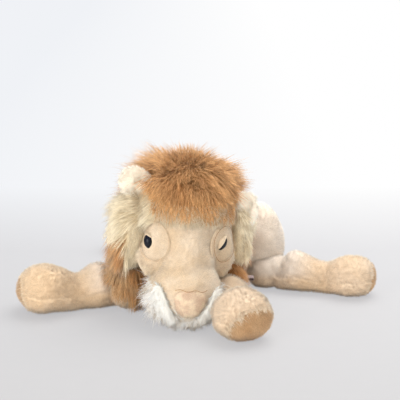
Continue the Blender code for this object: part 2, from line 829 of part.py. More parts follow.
def build_gusset(plush):
    """A spherical cap of cloth round the neck pivot, facing the head."""
    inner = CHEST_RADIUS + GUSSET_GAP
    tilt = np.linspace(0, GUSSET_SPREAD, GUSSET_RINGS + 1)[1:]
    sides = LIMB_SIDES
    turn = np.arange(sides) * 2 * math.pi / sides
    rings = []
    for radius, order in ((inner, tilt), (inner + CLOTH_THICKNESS, tilt[::-1])):
        for angle in order:
            ring = np.stack(
                [
                    math.sin(angle) * np.cos(turn),
                    np.full(sides, -math.cos(angle)),
                    math.sin(angle) * np.sin(turn),
                ],
                axis=-1,
            )
            rings.append(ring * radius)
    first, last = np.array([0, -inner, 0]), np.array([0, -inner - CLOTH_THICKNESS, 0])
    points, faces = capped_rings(np.array(rings), first, last)
    turned = np.array(HEAD_FRAME)
    obj = mesh_object("neck_gusset", points @ turned[:3, :3].T + turned[:3, 3], faces, plush)
    obj.data.shade_smooth()


def to_world(point):
    return HEAD_FRAME @ Vector(point)


def eye_axis(side):
    """The eye's seat on the face and its outward direction, in the world."""
    place, normal = face_point(side * EYE_SPACING / 2, EYE_RISE)
    return to_world(place), (HEAD_FRAME.to_3x3() @ Vector(normal)).normalized()


def face_panel(outline, thickness):
    """Rings of a panel on the face: outline holds (x, z) rings from the middle out, in the head's frame."""
    rings = [[face_point(x, z, thickness)[0] for x, z in ring] for ring in outline]
    rings.append([face_point(x, z, -thickness)[0] for x, z in outline[-1]])
    rings.append([face_point(x, z, -thickness)[0] for x, z in outline[0]])
    return np.array(rings)


def closed_panel(name, rings, finish):
    """A solid panel from rings that start and end at the middle."""
    first, last = rings[0].mean(0), rings[-1].mean(0)
    points, faces = capped_rings(rings, first, last)
    turned = np.array(HEAD_FRAME)
    return mesh_object(name, points @ turned[:3, :3].T + turned[:3, 3], faces, finish)


def oval_rings(x, z, width, height, shares):
    turn = np.arange(LIMB_SIDES) * 2 * math.pi / LIMB_SIDES
    rim = np.stack([np.cos(turn) * width / 2, np.sin(turn) * height / 2], axis=-1)
    return np.array([np.array([x, z]) + rim * share for share in shares])


def build_eye_patch(side, label, plush):
    """An oval panel round the eye, with a hole for the shank."""
    x = side * (EYE_SPACING / 2 - PATCH_WIDTH / 8)
    outline = oval_rings(x, EYE_RISE, PATCH_WIDTH, PATCH_HEIGHT, PANEL_SHARES)
    patch = closed_panel("eye_patch_" + label, face_panel(outline, PATCH_THICKNESS), plush)
    place, out = eye_axis(side)
    hole = rod("shank_hole", place + out * PATCH_WIDTH / 2, place - out * PATCH_WIDTH / 2, PATCH_HOLE_RADIUS)
    cut(patch, head_clearance(), hole, ruff_form("ruff_clearance", side, grow=SEAT_GAP))
    finish_solid(patch)


def build_eye(side, label, plastic, washer_finish):
    """A glossy domed eye with its shank, and the washer that locks it inside the head."""
    place, out = eye_axis(side)
    seat = PATCH_THICKNESS + 3 * SEAT_GAP
    upward = HEAD_FRAME.to_3x3() @ Vector((-side * math.sin(EYE_TILT), 0, math.cos(EYE_TILT)))
    across = upward.cross(out).normalized()
    upward = out.cross(across).normalized()
    turn = Matrix((across, upward, out)).transposed().to_4x4()
    frame = Matrix.Translation(place + out * seat) @ turn
    size = (EYE_WIDTH, EYE_HEIGHT, 2 * EYE_DOME)
    eye = ellipsoid("eye_" + label, (0, 0, 0), size, ROUND_COUNTS, frame, plastic)
    cut(eye, half_space("back", place + out * (seat + SEAT_GAP), -out))
    shank = rod("shank", place + out * (seat + EYE_DOME / 2), place - out * SHANK_LENGTH, SHANK_RADIUS)
    boolean(eye, shank, "UNION")
    remove(shank)
    finish_solid(eye)
    front = place - out * WASHER_DEPTH
    washer = rod("washer_" + label, front, front - out * WASHER_THICKNESS, WASHER_RADIUS)
    washer.data.materials.append(washer_finish)
    cut(washer, rod("hole", place, place - out * SHANK_LENGTH, SHANK_RADIUS + SEAT_GAP))
    finish_solid(washer)


def nose_outline(grow=0.0):
    """Rings of the nose panel: wide and straight at the top, narrow and round at the foot."""
    turn = np.arange(LIMB_SIDES) * 2 * math.pi / LIMB_SIDES
    up = np.sign(np.sin(turn)) * np.abs(np.sin(turn)) ** NOSE_SQUARENESS
    wide = (NOSE_WIDTH + NOSE_FOOT_WIDTH) / 4 + (NOSE_WIDTH - NOSE_FOOT_WIDTH) / 4 * up + grow
    out = np.sign(np.cos(turn)) * np.abs(np.cos(turn)) ** NOSE_SQUARENESS
    rim = np.stack([out * wide, up * (NOSE_HEIGHT / 2 + grow)], -1)
    middle = np.array([0, NOSE_TOP - NOSE_HEIGHT / 2])
    return np.array([middle + rim * share for share in PANEL_SHARES])


def nose_block(name, grow=0.0, finish=None):
    return closed_panel(name, face_panel(nose_outline(grow), NOSE_THICKNESS + grow), finish)


def build_nose(plush):
    nose = nose_block("nose", finish=plush)
    cut(nose, head_clearance())
    finish_solid(nose)


def lip_form(name, side, grow=0.0, finish=None):
    """A soft band that runs from beside the nose down to the chin, tapered at both ends."""
    part = np.linspace(0, 1, LIP_RINGS)
    drop = LIP_TOP + (LIP_FOOT - LIP_TOP) * part
    spread = (LIP_FOOT_SPREAD + (LIP_SPREAD - LIP_FOOT_SPREAD) * np.cos(part * math.pi / 2)) / 2
    line = list(zip(side * spread, drop))
    middle = np.array([face_point(x, z, LIP_RADIUS * LIP_STAND_SHARE)[0] for x, z in line])
    normals = np.array([face_point(x, z)[1] for x, z in line])
    ahead = np.gradient(middle, axis=0)
    ahead /= np.linalg.norm(ahead, axis=1)[:, None]
    aside = np.cross(ahead, normals)
    aside /= np.linalg.norm(aside, axis=1)[:, None]
    radius = LIP_RADIUS * np.sqrt(1 - (1 - LIP_END_SHARE) * (2 * part - 1) ** 4) + grow
    turn = np.arange(LINING_SIDES) * 2 * math.pi / LINING_SIDES
    rings = (
        middle[:, None]
        + (radius[:, None] * np.cos(turn))[..., None] * aside[:, None]
        + (radius[:, None] * np.sin(turn))[..., None] * normals[:, None]
    )
    first = middle[0] - ahead[0] * LIP_RADIUS / 2
    last = middle[-1] + ahead[-1] * LIP_RADIUS / 2
    points, faces = capped_rings(rings, first, last)
    turned = np.array(HEAD_FRAME)
    return mesh_object(name, points @ turned[:3, :3].T + turned[:3, 3], faces, finish)


def build_lips(plush):
    for side, label in ((1, "left"), (-1, "right")):
        lip = lip_form("lip_" + label, side, finish=plush)
        cut(lip, head_clearance(), nose_block("nose_clearance", SEAT_GAP))
        finish_solid(lip)


def chin_form(name, grow=0.0, finish=None):
    centre = (0, -CHIN_FORWARD, -CHIN_DROP)
    size = (CHIN_WIDTH, CHIN_DEPTH, CHIN_HEIGHT)
    return ellipsoid(name, centre, size, ROUND_COUNTS, HEAD_FRAME, finish, grow)


def build_chin(pile):
    """The chin's pile wraps under the muzzle and rests on the floor."""
    chin = chin_form("chin", finish=pile)
    cut(chin, head_clearance(), nose_block("nose_clearance", SEAT_GAP))
    for side in (1, -1):
        cut(chin, lip_form("lip_clearance", side, SEAT_GAP))
    cut(chin, floor_block())
    finish_solid(chin)


# Mane


def head_ellipsoid(name, centre, size, finish=None, grow=0.0, counts=ROUND_COUNTS):
    return ellipsoid(name, centre, size, counts, HEAD_FRAME, finish, grow)


def ruff_form(name, side, finish=None, grow=0.0):
    centre = (side * RUFF_SPREAD / 2, -RUFF_FORWARD, RUFF_RISE)
    return head_ellipsoid(name, centre, (RUFF_WIDTH, RUFF_DEPTH, RUFF_HEIGHT), finish, grow)


def crown_form(name, finish=None, grow=0.0):
    centre = (0, -CROWN_FORWARD, CROWN_RISE)
    return head_ellipsoid(name, centre, (CROWN_WIDTH, CROWN_DEPTH, CROWN_HEIGHT), finish, grow, CROWN_COUNTS)


def below_fringe():
    return half_space("below_fringe", to_world((0, 0, FRINGE_RISE)), HEAD_FRAME.to_3x3() @ -UP)


def torso_swept(grow):
    """The torso as the head meets it: at rest, nodded up, and turned."""
    made = []
    for nod in (0, NOD_LIMIT):
        for turn in (0, TURN_LIMIT):
            form = swung([torso_form("torso_swept", TORSO_COUNTS, grow)], NECK, -turn)
            made += turned_about(form, NECK, nod_axis(), -nod)
    return made


def head_swept():
    """The head's low forms as the collar meets them: at rest and turned."""
    made = []
    grow = SOCKET_GAP + SWING_GAP
    for share in FINE_SHARES:
        forms = [head_form("head_clearance", HEAD_COUNTS, grow)]
        forms += [ruff_form("ruff_clearance", side, grow=grow) for side in (1, -1)]
        made += swung(forms, NECK, TURN_LIMIT * share)
    return made


def nod_axis():
    return Vector((math.cos(HEAD_YAW), math.sin(HEAD_YAW), 0))


def build_mane(tan, cream, rust):
    """Crown, ruffs and nape on the head, and the two collar pieces on the chest."""
    for side, label in ((1, "left"), (-1, "right")):
        ruff = ruff_form("ruff_" + label, side, cream)
        cut(ruff, head_clearance(), neck_ball(), *torso_swept(SOCKET_GAP))
        if side > 0:
            leg = limb_form("leg_clearance", LIMBS[0], LIMB_SIDES, LIMB_RINGS, -SOCKET_GAP)
            cut(ruff, *swung([leg], NECK, -TURN_LIMIT))
        finish_solid(ruff)
    for name, split, way in (("mane_crown", 0, 1), ("mane_nape", SEAT_GAP, -1)):
        piece = crown_form(name, tan)
        back = HEAD_FRAME.to_3x3() @ Vector((0, way, 0))
        parting = half_space("parting", to_world((0, NAPE_FRONT + split, 0)), back)
        cut(piece, parting, below_fringe(), head_clearance())
        for side in (1, -1):
            cut(piece, ruff_form("ruff_clearance", side, grow=SEAT_GAP))
        cut(piece, neck_ball(), *torso_swept(SOCKET_GAP))
        finish_solid(piece)
    for label, place, size in (
        ("left", COLLAR_LEFT_PLACE, COLLAR_LEFT_SIZE),
        ("right", COLLAR_RIGHT_PLACE, COLLAR_RIGHT_SIZE),
    ):
        collar = ellipsoid("mane_collar_" + label, place, size, ROUND_COUNTS, finish=rust)
        cut(collar, torso_form("torso_clearance", TORSO_COUNTS, SEAT_GAP))
        spec = LIMBS[0] if label == "left" else LIMBS[1]
        for angle in np.linspace(*spec["swing"], len(FINE_SHARES)):
            leg = limb_form("leg_clearance", spec, LIMB_SIDES, LIMB_RINGS, -SOCKET_GAP - SWING_GAP / 2)
            cut(collar, *swung([leg], spec["pivot"], angle))
        cut(collar, *head_swept())
        cut(collar, floor_block())
        finish_solid(collar)


# Ears


def ear_frame(root, tip):
    """The ear's frame: its root on the head, Y toward the tip, Z out of the cup."""
    along = Vector(tip).normalized()
    out = Vector((0, -1, 0))
    across = along.cross(out).normalized()
    out = across.cross(along).normalized()
    turn = Matrix((across, along, out)).transposed().to_4x4()
    return HEAD_FRAME @ Matrix.Translation(root) @ turn


def ear_layer(name, frame, height, finish):
    """A cupped oval layer whose lower end sits in the root; height is where the layer starts."""
    turn = np.arange(LIMB_SIDES) * 2 * math.pi / LIMB_SIDES
    shares = np.array(PANEL_SHARES)
    rings = []
    for level, order in ((height, shares), (height + EAR_LAYER, shares[::-1])):
        for share in order:
            wide = EAR_WIDTH / 2 * share * np.cos(turn)
            tall = EAR_HEIGHT / 2 - EAR_SINK + EAR_HEIGHT / 2 * share * np.sin(turn)
            cup = EAR_CUP * (share**2)
            rings.append(np.stack([wide, tall, np.full(LIMB_SIDES, level + cup)], -1))
    rings = np.array(rings)
    points, faces = capped_rings(rings, rings[0].mean(0), rings[-1].mean(0))
    turned = np.array(frame)
    return mesh_object(name, points @ turned[:3, :3].T + turned[:3, 3], faces, finish)


def ear_blockers(side, frame):
    """What an ear is cut by: the head, crown and ruff at rest and at the ear's limits."""
    made = []
    for limit in (0, *EAR_SWING, EAR_SWING[1] / 2):
        forms = [
            head_clearance(),
            crown_form("crown_clearance", grow=SEAT_GAP),
            ruff_form("ruff_clearance", side, grow=SEAT_GAP),
        ]
        made += turned_about(forms, frame.translation, frame.to_3x3().col[0], -limit)
    return made


def build_ears(back_finish, front_finish):
    """Two cupped layers of cloth for each ear, the front one over the back one."""
    layers = (("back", 0.0, back_finish), ("front", EAR_LAYER + SEAT_GAP, front_finish))
    for side, label, root, tip in EARS:
        frame = ear_frame(root, tip)
        for layer, level, finish in layers:
            ear = ear_layer("ear_" + label + "_" + layer, frame, level, finish)
            cut(ear, *ear_blockers(side, frame))
            finish_solid(ear)


# Tail and label


def tail_root():
    return (TAIL_ROOT_X, TAIL_ROOT_Y, TAIL_ROOT_Z)


def tail_rings(radius, start, end, sides, rings):
    """Rings along the tail's drooping axis; radius is a function of the share of the length."""
    share = np.linspace(start, end, rings)
    ahead = np.array([math.cos(TAIL_HEADING), math.sin(TAIL_HEADING)])
    reach = share * (TAIL_LENGTH + TUFT_LENGTH)
    middle = np.empty((rings, 3))
    middle[:, :2] = np.array(tail_root()[:2]) + reach[:, None] * ahead
    fall = np.clip(reach / TAIL_LENGTH, 0, 1)
    middle[:, 2] = TAIL_ROOT_Z - TAIL_DROP * fall * fall * (3 - 2 * fall)
    turn = np.arange(sides) * 2 * math.pi / sides
    aside = np.array([-ahead[1], ahead[0], 0])
    width = radius(share)[:, None]
    out = middle[:, None] + (width * np.cos(turn))[..., None] * aside
    out[..., 2] += width * np.sin(turn)
    return out, middle


def build_tail(plush, tuft_finish, fill):
    """Tail cloth and stuffing with a ball at the root, and the tuft round its end."""
    total = TAIL_LENGTH + TUFT_LENGTH
    tail_share = TAIL_LENGTH / total
    root = ball("tail_skin", tail_root(), TAIL_BALL_RADIUS, ROUND_COUNTS)
    root.data.materials.append(plush)

    def tube(name, radius, start, end):
        def even(share):
            return np.full(len(share), radius)

        rings, middle = tail_rings(even, start, end, LINING_SIDES, TAIL_RINGS)
        return mesh_object(name, *capped_rings(rings, middle[0], middle[-1]))

    clear = SEAT_GAP / total
    shaft = tube("shaft", TAIL_RADIUS, 0, tail_share)
    boolean(root, shaft, "UNION")
    remove(shaft)
    core = tube("core", TAIL_RADIUS - CLOTH_THICKNESS, 0, tail_share + clear)
    cut(root, core)
    cut(root, floor_block())
    finish_solid(root)
    inner = TAIL_RADIUS - CLOTH_THICKNESS - SEAT_GAP
    stuffing = tube("tail_stuffing", inner, clear, tail_share)
    stuffing.data.materials.append(fill)
    finish_solid(stuffing)

    def swell(share):
        part = np.clip((share - tail_share) / (1 - tail_share), 0, 1)
        return np.maximum(TUFT_RADIUS * np.sqrt(np.sin(math.pi * part**TUFT_LEAN)), TAIL_RADIUS / 4)

    start = tail_share * (1 + SEAT_GAP / TAIL_LENGTH)
    rings, middle = tail_rings(swell, start, 1.0, LINING_SIDES, TAIL_RINGS)
    tuft = mesh_object("tail_tuft", *capped_rings(rings, middle[0], middle[-1]), tuft_finish)
    cut(tuft, floor_block())
    finish_solid(tuft)


def build_label(ribbon):
    """A small folded ribbon that stands out of the body's side seam."""
    x, y, z = LABEL_PLACE
    fold = LABEL_THICKNESS
    outline = [(0, 0), (LABEL_LENGTH, 0), (LABEL_LENGTH, 3 * fold), (0, 3 * fold), (0, 2 * fold)]
    outline += [(LABEL_LENGTH - fold, 2 * fold), (LABEL_LENGTH - fold, fold), (0, fold)]
    points = []
    for depth in (0, LABEL_WIDTH):
        points += [(x - LABEL_LENGTH / 2 + run, y - depth, z + rise) for run, rise in outline]
    count = len(outline)
    faces = [tuple(range(count)), tuple(range(count, 2 * count))]
    faces += [(k, (k + 1) % count, count + (k + 1) % count, count + k) for k in range(count)]
    label = mesh_object("label", points, faces, ribbon)
    cut(label, torso_form("torso_clearance", TORSO_COUNTS, SEAT_GAP))
    cut(label, haunch_form("haunch_clearance", "left", SEAT_GAP))
    finish_solid(label)


# Joint axes


def joint_points():
    """Name starts of the moving pieces, and a point on each one's joint axis."""
    points = {spec["name"]: spec["pivot"] for spec in LIMBS}
    points["tail"] = tail_root()
    for _, label, root, tip in EARS:
        points["ear_" + label] = ear_frame(root, tip).translation
    for name in HEAD_PIECES:
        points[name] = NECK
    return points


def place_origins():
    """Puts each moving piece's origin on its joint axis without moving the piece."""
    points = joint_points()
    for obj in bpy.data.objects:
        for start, point in points.items():
            if obj.name.startswith(start):
                obj.data.transform(Matrix.Translation(-Vector(point)))
                obj.location = point
                break


def main():
    clear_scene()
    plush, face, cream, tan = body_plush(), face_plush(), cream_pile(), tan_pile()
    rust, white, fill = rust_pile(), white_pile(), fibre_fill()
    build_torso(plush, fill)
    for side in ("left", "right"):
        build_haunch(side, plush)
    sole_finish = sole_plush()
    for spec in LIMBS:
        build_leg(spec, plush, sole_finish, fill)
    build_gusset(plush)
    build_head(face, fill)
    plastic, washer = eye_plastic(), washer_plastic()
    for side, label in ((1, "left"), (-1, "right")):
        build_eye_patch(side, label, face)
        build_eye(side, label, plastic, washer)
    build_nose(face)
    build_lips(white)
    build_chin(white)
    build_mane(tan, cream, rust)
    build_ears(ear_plush(), ear_plush())
    build_tail(plush, tan, fill)
    build_label(label_ribbon())
    place_origins()


main()
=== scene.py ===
"""Dresses the plush lion: its stuffed forms, its short and long pile, its face, and the stage.

Every stuffed form is a closed surface of two parameters: rays from a centre to blended ellipsoids, or
rings carried along a path. Pile is closed tapered hairs that grow out of those surfaces. A form is a pair
of arrays, its points and its triangles. Lengths are in metres.
"""

import json
import math

import bmesh
import bpy
import numpy as np
from mathutils import Matrix, Vector

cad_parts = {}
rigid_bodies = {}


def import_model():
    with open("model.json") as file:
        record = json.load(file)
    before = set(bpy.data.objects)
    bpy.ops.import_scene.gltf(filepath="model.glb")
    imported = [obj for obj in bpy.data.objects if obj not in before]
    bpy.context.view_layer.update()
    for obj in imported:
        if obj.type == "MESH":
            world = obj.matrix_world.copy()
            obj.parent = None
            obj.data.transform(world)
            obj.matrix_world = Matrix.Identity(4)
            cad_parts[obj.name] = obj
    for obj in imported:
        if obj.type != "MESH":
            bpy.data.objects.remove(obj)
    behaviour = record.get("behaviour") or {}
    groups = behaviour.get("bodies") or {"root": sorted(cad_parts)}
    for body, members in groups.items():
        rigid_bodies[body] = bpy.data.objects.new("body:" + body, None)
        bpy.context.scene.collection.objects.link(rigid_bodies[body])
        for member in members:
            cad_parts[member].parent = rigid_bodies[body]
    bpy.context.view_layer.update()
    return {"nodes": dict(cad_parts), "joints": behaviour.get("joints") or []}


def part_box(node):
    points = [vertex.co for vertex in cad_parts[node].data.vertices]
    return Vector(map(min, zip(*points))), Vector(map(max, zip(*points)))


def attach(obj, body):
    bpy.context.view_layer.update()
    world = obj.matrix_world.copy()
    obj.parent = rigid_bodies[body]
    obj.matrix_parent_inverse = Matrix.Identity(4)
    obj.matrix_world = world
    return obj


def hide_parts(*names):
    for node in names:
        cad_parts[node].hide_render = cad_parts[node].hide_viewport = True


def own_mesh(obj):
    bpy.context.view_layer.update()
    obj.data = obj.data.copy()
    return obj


bl_info = {
    "name": "Plush Lion",
    "version": (1, 0, 0),
    "blender": (4, 5, 0),
    "location": "View3D > Sidebar > Plush Lion",
    "description": "Builds the plush lion's cloth, pile, face and stage",
    "category": "Object",
}

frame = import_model()
JOINTS = {joint["name"]: joint for joint in frame["joints"]}
PIVOTS = {name: np.array(joint["pos_m"]) for name, joint in JOINTS.items()}
SIDES = ((1, "left"), (-1, "right"))

# Layout shared with the solids
NECK = PIVOTS["neck_turn"]
HEAD_YAW = math.radians(8)
HEAD_ROLL = math.radians(4.5)
HEAD_TURN = Matrix.Rotation(HEAD_YAW, 4, "Z") @ Matrix.Rotation(HEAD_ROLL, 4, "Y")
HEAD_FRAME = np.array(Matrix.Translation(NECK) @ HEAD_TURN)
HEAD_AXES = HEAD_FRAME[:3, :3]
BLEND_POWER = 14
CHEST_RADIUS = 0.060
GUSSET_SPREAD = math.radians(32)
GUSSET_RADII = (CHEST_RADIUS + 0.0010, CHEST_RADIUS + 0.0035)
BELLY_CENTRE = NECK + (0.02444, 0.05252, -0.0044)
RUMP_CENTRE = NECK + (0.047, 0.101, -0.0029)
TORSO_LOBES = [
    (NECK, np.full(3, CHEST_RADIUS)),
    (BELLY_CENTRE, np.array([0.069, 0.075, 0.057])),
    (RUMP_CENTRE, np.array([0.071, 0.070, 0.0585])),
]
HAUNCHES = {"left": (0.078, 0.030, 0.0505), "right": (-0.036, 0.060, 0.0505)}
HAUNCH_RADII = np.array([0.033, 0.047, 0.050])
HEAD_CENTRE = np.array([0.0, -0.067, 0.014])
HEAD_LOBES = [
    (np.array([0.0, -0.045, 0.046]), np.array([0.057, 0.058, 0.069])),
    (np.array([0.0, -0.089, -0.018]), np.array([0.040, 0.045, 0.039])),
    (np.array([0.0, -0.078, 0.018]), np.array([0.033, 0.040, 0.043])),
    (np.array([0.029, -0.060, 0.019]), np.full(3, 0.031)),
    (np.array([-0.029, -0.060, 0.019]), np.full(3, 0.031)),
]
TORSO = (BELLY_CENTRE, TORSO_LOBES, None)
HEAD = (HEAD_CENTRE, HEAD_LOBES, HEAD_FRAME)
EYES = {"left": (0.0378, 0.0392), "right": (-0.0464, 0.0370)}
EYE_TILTS = {"left": math.radians(42), "right": math.radians(22)}
EYE_GAP = (0.0062, 0.0088)
PATCH = (0.0400, 0.0385)
PATCH_SIZE = (0.0325, 0.0450)
PATCH_HOLE = (0.0060, 0.0086)
# How each lid slopes, and how far over the eye's middle it comes
LIDS = {"left": (math.radians(58), 0.0020), "right": (math.radians(20), 0.0050)}
NECK_CLEAR = 0.072
BACK_CLEAR = 0.003
CROWN_CENTRE = np.array([0.0, -0.030, 0.068])
CROWN_RADII = np.array([0.070, 0.066, 0.065])
FRINGE_RISE = 0.056
FRINGE_ROOTS = 0.0815
WHORL = np.array([0.006, 0.026, 0.128])
WHORL_SPOT = np.array([0.004, 0.008, 0.1085])
RUFF_CENTRE = np.array([0.062, -0.046, 0.040])
RUFF_RADII = np.array([0.028, 0.037, 0.050])
# How far each ruff's cloth lies inside its solid, and its share of the ruff's length of hair
RUFFS = {"left": (0.0125, 0.62), "right": (0.0075, 1.0)}
CHIN_CENTRE = np.array([0.0, -0.090, -0.0292])
CHIN_RADII = np.array([0.045, 0.034, 0.033])
COLLARS = {
    "left": ((0.036, -0.090, 0.050), (0.018, 0.022, 0.022)),
    "right": ((-0.084, -0.088, 0.0335), (0.026, 0.022, 0.034)),
}
EARS = {
    "left": ((0.058, -0.047, 0.080), (0.90, -0.12, -0.20)),
    "right": ((-0.052, -0.044, 0.090), (-0.62, -0.16, 0.52)),
}
EAR_DROOP = 16.0
# Each ear's size, half its thickness, and where its bend starts and how wide it is
EAR_FORMS = {"left": (0.94, 0.0046, 0.016, 0.012), "right": (0.88, 0.0062, 0.024, 0.060)}
FRONT_SHAPE = ((0.15, 0.31, 0.50, 0.755), (0.0205, 0.0270, 0.0220, 0.0345), (0.0205, 0.0270, 0.0220, 0.0290))
HIND_SHAPE = ((0.16, 0.27, 0.54, 0.78), (0.0205, 0.0250, 0.0195, 0.0290), (0.0205, 0.0250, 0.0195, 0.0245))
LEGS = {
    "front_leg_left": ("shoulder_left", -77.0, 0.142, 0.0255, FRONT_SHAPE),
    "front_leg_right": ("shoulder_right", 196.5, 0.142, 0.0255, FRONT_SHAPE),
    "hind_leg_left": ("hip_left", -17.0, 0.139, 0.0245, HIND_SHAPE),
    "hind_leg_right": ("hip_right", 112.0, 0.139, 0.0245, HIND_SHAPE),
}
# Each leg's share of the paler colour on top near its root; the right front leg's large share is painted
# light on its shaded root
PALE_AND_LIT_ROOTS = {"front_leg_left": 0.2, "front_leg_right": 0.7, "hind_leg_left": 0.85, "hind_leg_right": 0.85}
LEFT_PAW_SOLE = np.array([0.44, -0.74, -0.50]) / np.linalg.norm([0.44, -0.74, -0.50])
SOLE_TURNS = {"front_leg_right": -22.0, "hind_leg_left": 24.0, "hind_leg_right": 0.0}
SOLE_TILT = math.radians(-12)
SEAM_TURNS = (math.radians(190), math.radians(-10))
SEAM_DEPTHS = (0.0014, 0.0010)
TAIL_HEADING = math.radians(52)

# Cloth and pile
CLOTH_INSET = 0.0014
FLOOR_GAP = 0.0012
PRESS_LEVEL = 0.1960
PRESS_DEPTH = 0.0112


# Surfaces


def unit(vectors):
    return vectors / np.maximum(np.linalg.norm(vectors, axis=-1), 1e-9)[..., None]


def clamped(values):
    return np.clip(values, 0, 1)


def smooth(part):
    """A share from 0 to 1, eased at both ends."""
    return part * part * (3 - 2 * part)


def turns(sides):
    """Angles spread evenly round a circle."""
    return np.arange(sides) * 2 * math.pi / sides


def placed(points, place):
    return points @ place[:3, :3].T + place[:3, 3]


def unplaced(points, place):
    return (points - place[:3, 3]) @ place[:3, :3]


def in_head(points):
    """Points of the world in the head's frame."""
    return unplaced(points, HEAD_FRAME)


def head_way(x, y, z):
    """Directions given in the head's frame, turned into the world."""
    return np.stack(np.broadcast_arrays(x, y, z), -1) @ HEAD_AXES.T


def to_front(normals):
    """The part of each normal along the head's Y, which is negative toward the face's front."""
    return (normals @ HEAD_AXES)[:, 1]


def quads(a, b, c, d):
    """Two triangles for each face of four corners."""
    return np.concatenate([np.stack([a, b, c], -1).reshape(-1, 3), np.stack([a, c, d], -1).reshape(-1, 3)])


def grid_faces(rows, columns, around=False):
    """Triangles of a grid of points, joined round both ways where around is true."""
    open_end = 0 if around else 1
    i, k = np.meshgrid(np.arange(rows - open_end), np.arange(columns - open_end), indexing="ij")
    after, beside = (i + 1) % rows, (k + 1) % columns
    return quads(i * columns + k, after * columns + k, after * columns + beside, i * columns + beside)


def outward(points, tris):
    """The triangles turned so that the closed form's signed volume is positive."""
    a, b, c = points[tris[:, 0]], points[tris[:, 1]], points[tris[:, 2]]
    return tris if (a * np.cross(b, c)).sum() > 0 else tris[:, ::-1]


def closed(rings, first, last):
    """The closed form of a start point, rings of points, and an end point."""
    count, sides = rings.shape[:2]
    k = np.arange(sides)
    after = (k + 1) % sides
    start = np.stack([np.zeros(sides, int), 1 + k, 1 + after], -1)
    near = np.arange(count - 1)[:, None] * sides + 1
    far = near + sides
    end = (count - 1) * sides + 1
    cap = np.stack([end + k, np.full(sides, count * sides + 1), end + after], -1)
    tris = np.vstack([start, quads(near + k, far + k, far + after, near + after), cap])
    points = np.vstack([first[None], rings.reshape(-1, 3), last[None]])
    return points, outward(points, tris)


def swept(path, wide, aside, tall, up, sides):
    """Rings round a path: path + wide * cos(turn) * aside + tall * sin(turn) * up."""
    turn = turns(sides)
    rings = path[:, None] + (wide[:, None] * np.cos(turn))[..., None] * aside
    return rings + (tall[:, None] * np.sin(turn))[..., None] * up


def sphere_ways(rings, sides):
    """Unit directions on rings round the Y axis, with the two poles."""
    tilt, turn = np.meshgrid(np.arange(1, rings) * math.pi / rings, turns(sides), indexing="ij")
    ways = np.stack([np.sin(tilt) * np.cos(turn), -np.cos(tilt), np.sin(tilt) * np.sin(turn)], -1)
    return ways, np.array([0.0, -1.0, 0.0]), np.array([0.0, 1.0, 0.0])


def star_reach(centre, ways, lobes):
    """The power mean of how far each ray from centre goes until it leaves each ellipsoid."""
    total = 0
    for middle, radii in lobes:
        start, way = (centre - middle) / radii, ways / radii
        square, along = (way * way).sum(-1), (way * start).sum(-1)
        inside = along**2 - square * ((start * start).sum() - 1)
        reach = np.where(inside > 0, np.maximum((-along + np.sqrt(np.maximum(inside, 0))) / square, 0), 0)
        total = total + reach**BLEND_POWER
    return total ** (1 / BLEND_POWER)


def star(centre, lobes, rings, sides, grow=0.0):
    """A closed form: centre plus direction times (blended reach plus grow)."""
    ways = sphere_ways(rings, sides)
    return closed(*(centre + way * (star_reach(centre, way, lobes) + grow)[..., None] for way in ways))


def carried(form, place=HEAD_FRAME):
    """The form brought from the head's frame, or another, into the world."""
    return placed(form[0], place), form[1]


def depth_inside(points, centre, lobes, place=None):
    """How deep points lie inside a star form, along the ray from its centre; negative outside."""
    away = (points if place is None else unplaced(points, place)) - centre
    far = np.linalg.norm(away, axis=-1)
    return star_reach(centre, away / np.maximum(far, 1e-9)[..., None], lobes) - far


def every(*tests):
    """A test of roots and their normals that is true where all the given tests are."""
    return lambda roots, normals: np.all([test(roots, normals) for test in tests], axis=0)


def but(test):
    """A test that is true where the given test isn't."""
    return lambda roots, normals: ~test(roots, normals)


def local(test):
    """A test of roots, from a test of their X, Y and Z in the head's frame."""
    return lambda roots, normals: test(*in_head(roots).T)


def outside_of(margin, *forms):
    """A test that is true for roots that lie outside every given star form."""
    return lambda roots, normals: np.all([depth_inside(roots, *form) < margin for form in forms], axis=0)


def steady(*way):
    """A flow that runs the same way everywhere."""
    return lambda points: np.tile(np.array(way, float), (len(points), 1))


def head_flowing(way):
    """A flow, from a direction in the head's frame at each X, Y and Z there."""
    return lambda points: head_way(*way(*in_head(points).T))


def normals_of(points, tris):
    """Unit vertex normals: the area-weighted sum of the faces round each point."""
    a, b, c = points[tris[:, 0]], points[tris[:, 1]], points[tris[:, 2]]
    face = np.cross(b - a, c - a)
    total = np.zeros_like(points)
    for axis in range(3):
        for corner in range(3):
            total[:, axis] += np.bincount(tris[:, corner], face[:, axis], len(points))
    return total / np.maximum(np.linalg.norm(total, axis=-1), 1e-12)[:, None]


def waves(points, size, seed, count=7):
    """A smooth field from -1 to 1: the mean of sine waves about size long, and its slope."""
    rng = np.random.default_rng(seed)
    ways = unit(rng.normal(size=(count, 3))) * (2 * math.pi / size) * rng.uniform(0.7, 1.5, (count, 1))
    phase = points @ ways.T + rng.uniform(0, 2 * math.pi, count)
    level = np.sin(phase).sum(-1) / math.sqrt(count)
    slope = np.cos(phase) @ ways * (size / (2 * math.pi)) / math.sqrt(count)
    return level, slope


def stuffed(form, amount, size, seed):
    """The form with gentle hollows and swells of its filling along its normals."""
    points, tris = form
    level, _ = waves(points, size, seed)
    fine, _ = waves(points, size / 3, seed + 1)
    return points + normals_of(points, tris) * (amount * (level + 0.4 * fine))[:, None], tris


def over_floor(points):
    return np.column_stack([points[:, :2], np.maximum(points[:, 2], 0.0)])


def grounded(form):
    """The form with what would sink under the floor laid flat on it."""
    return over_floor(form[0]), form[1]


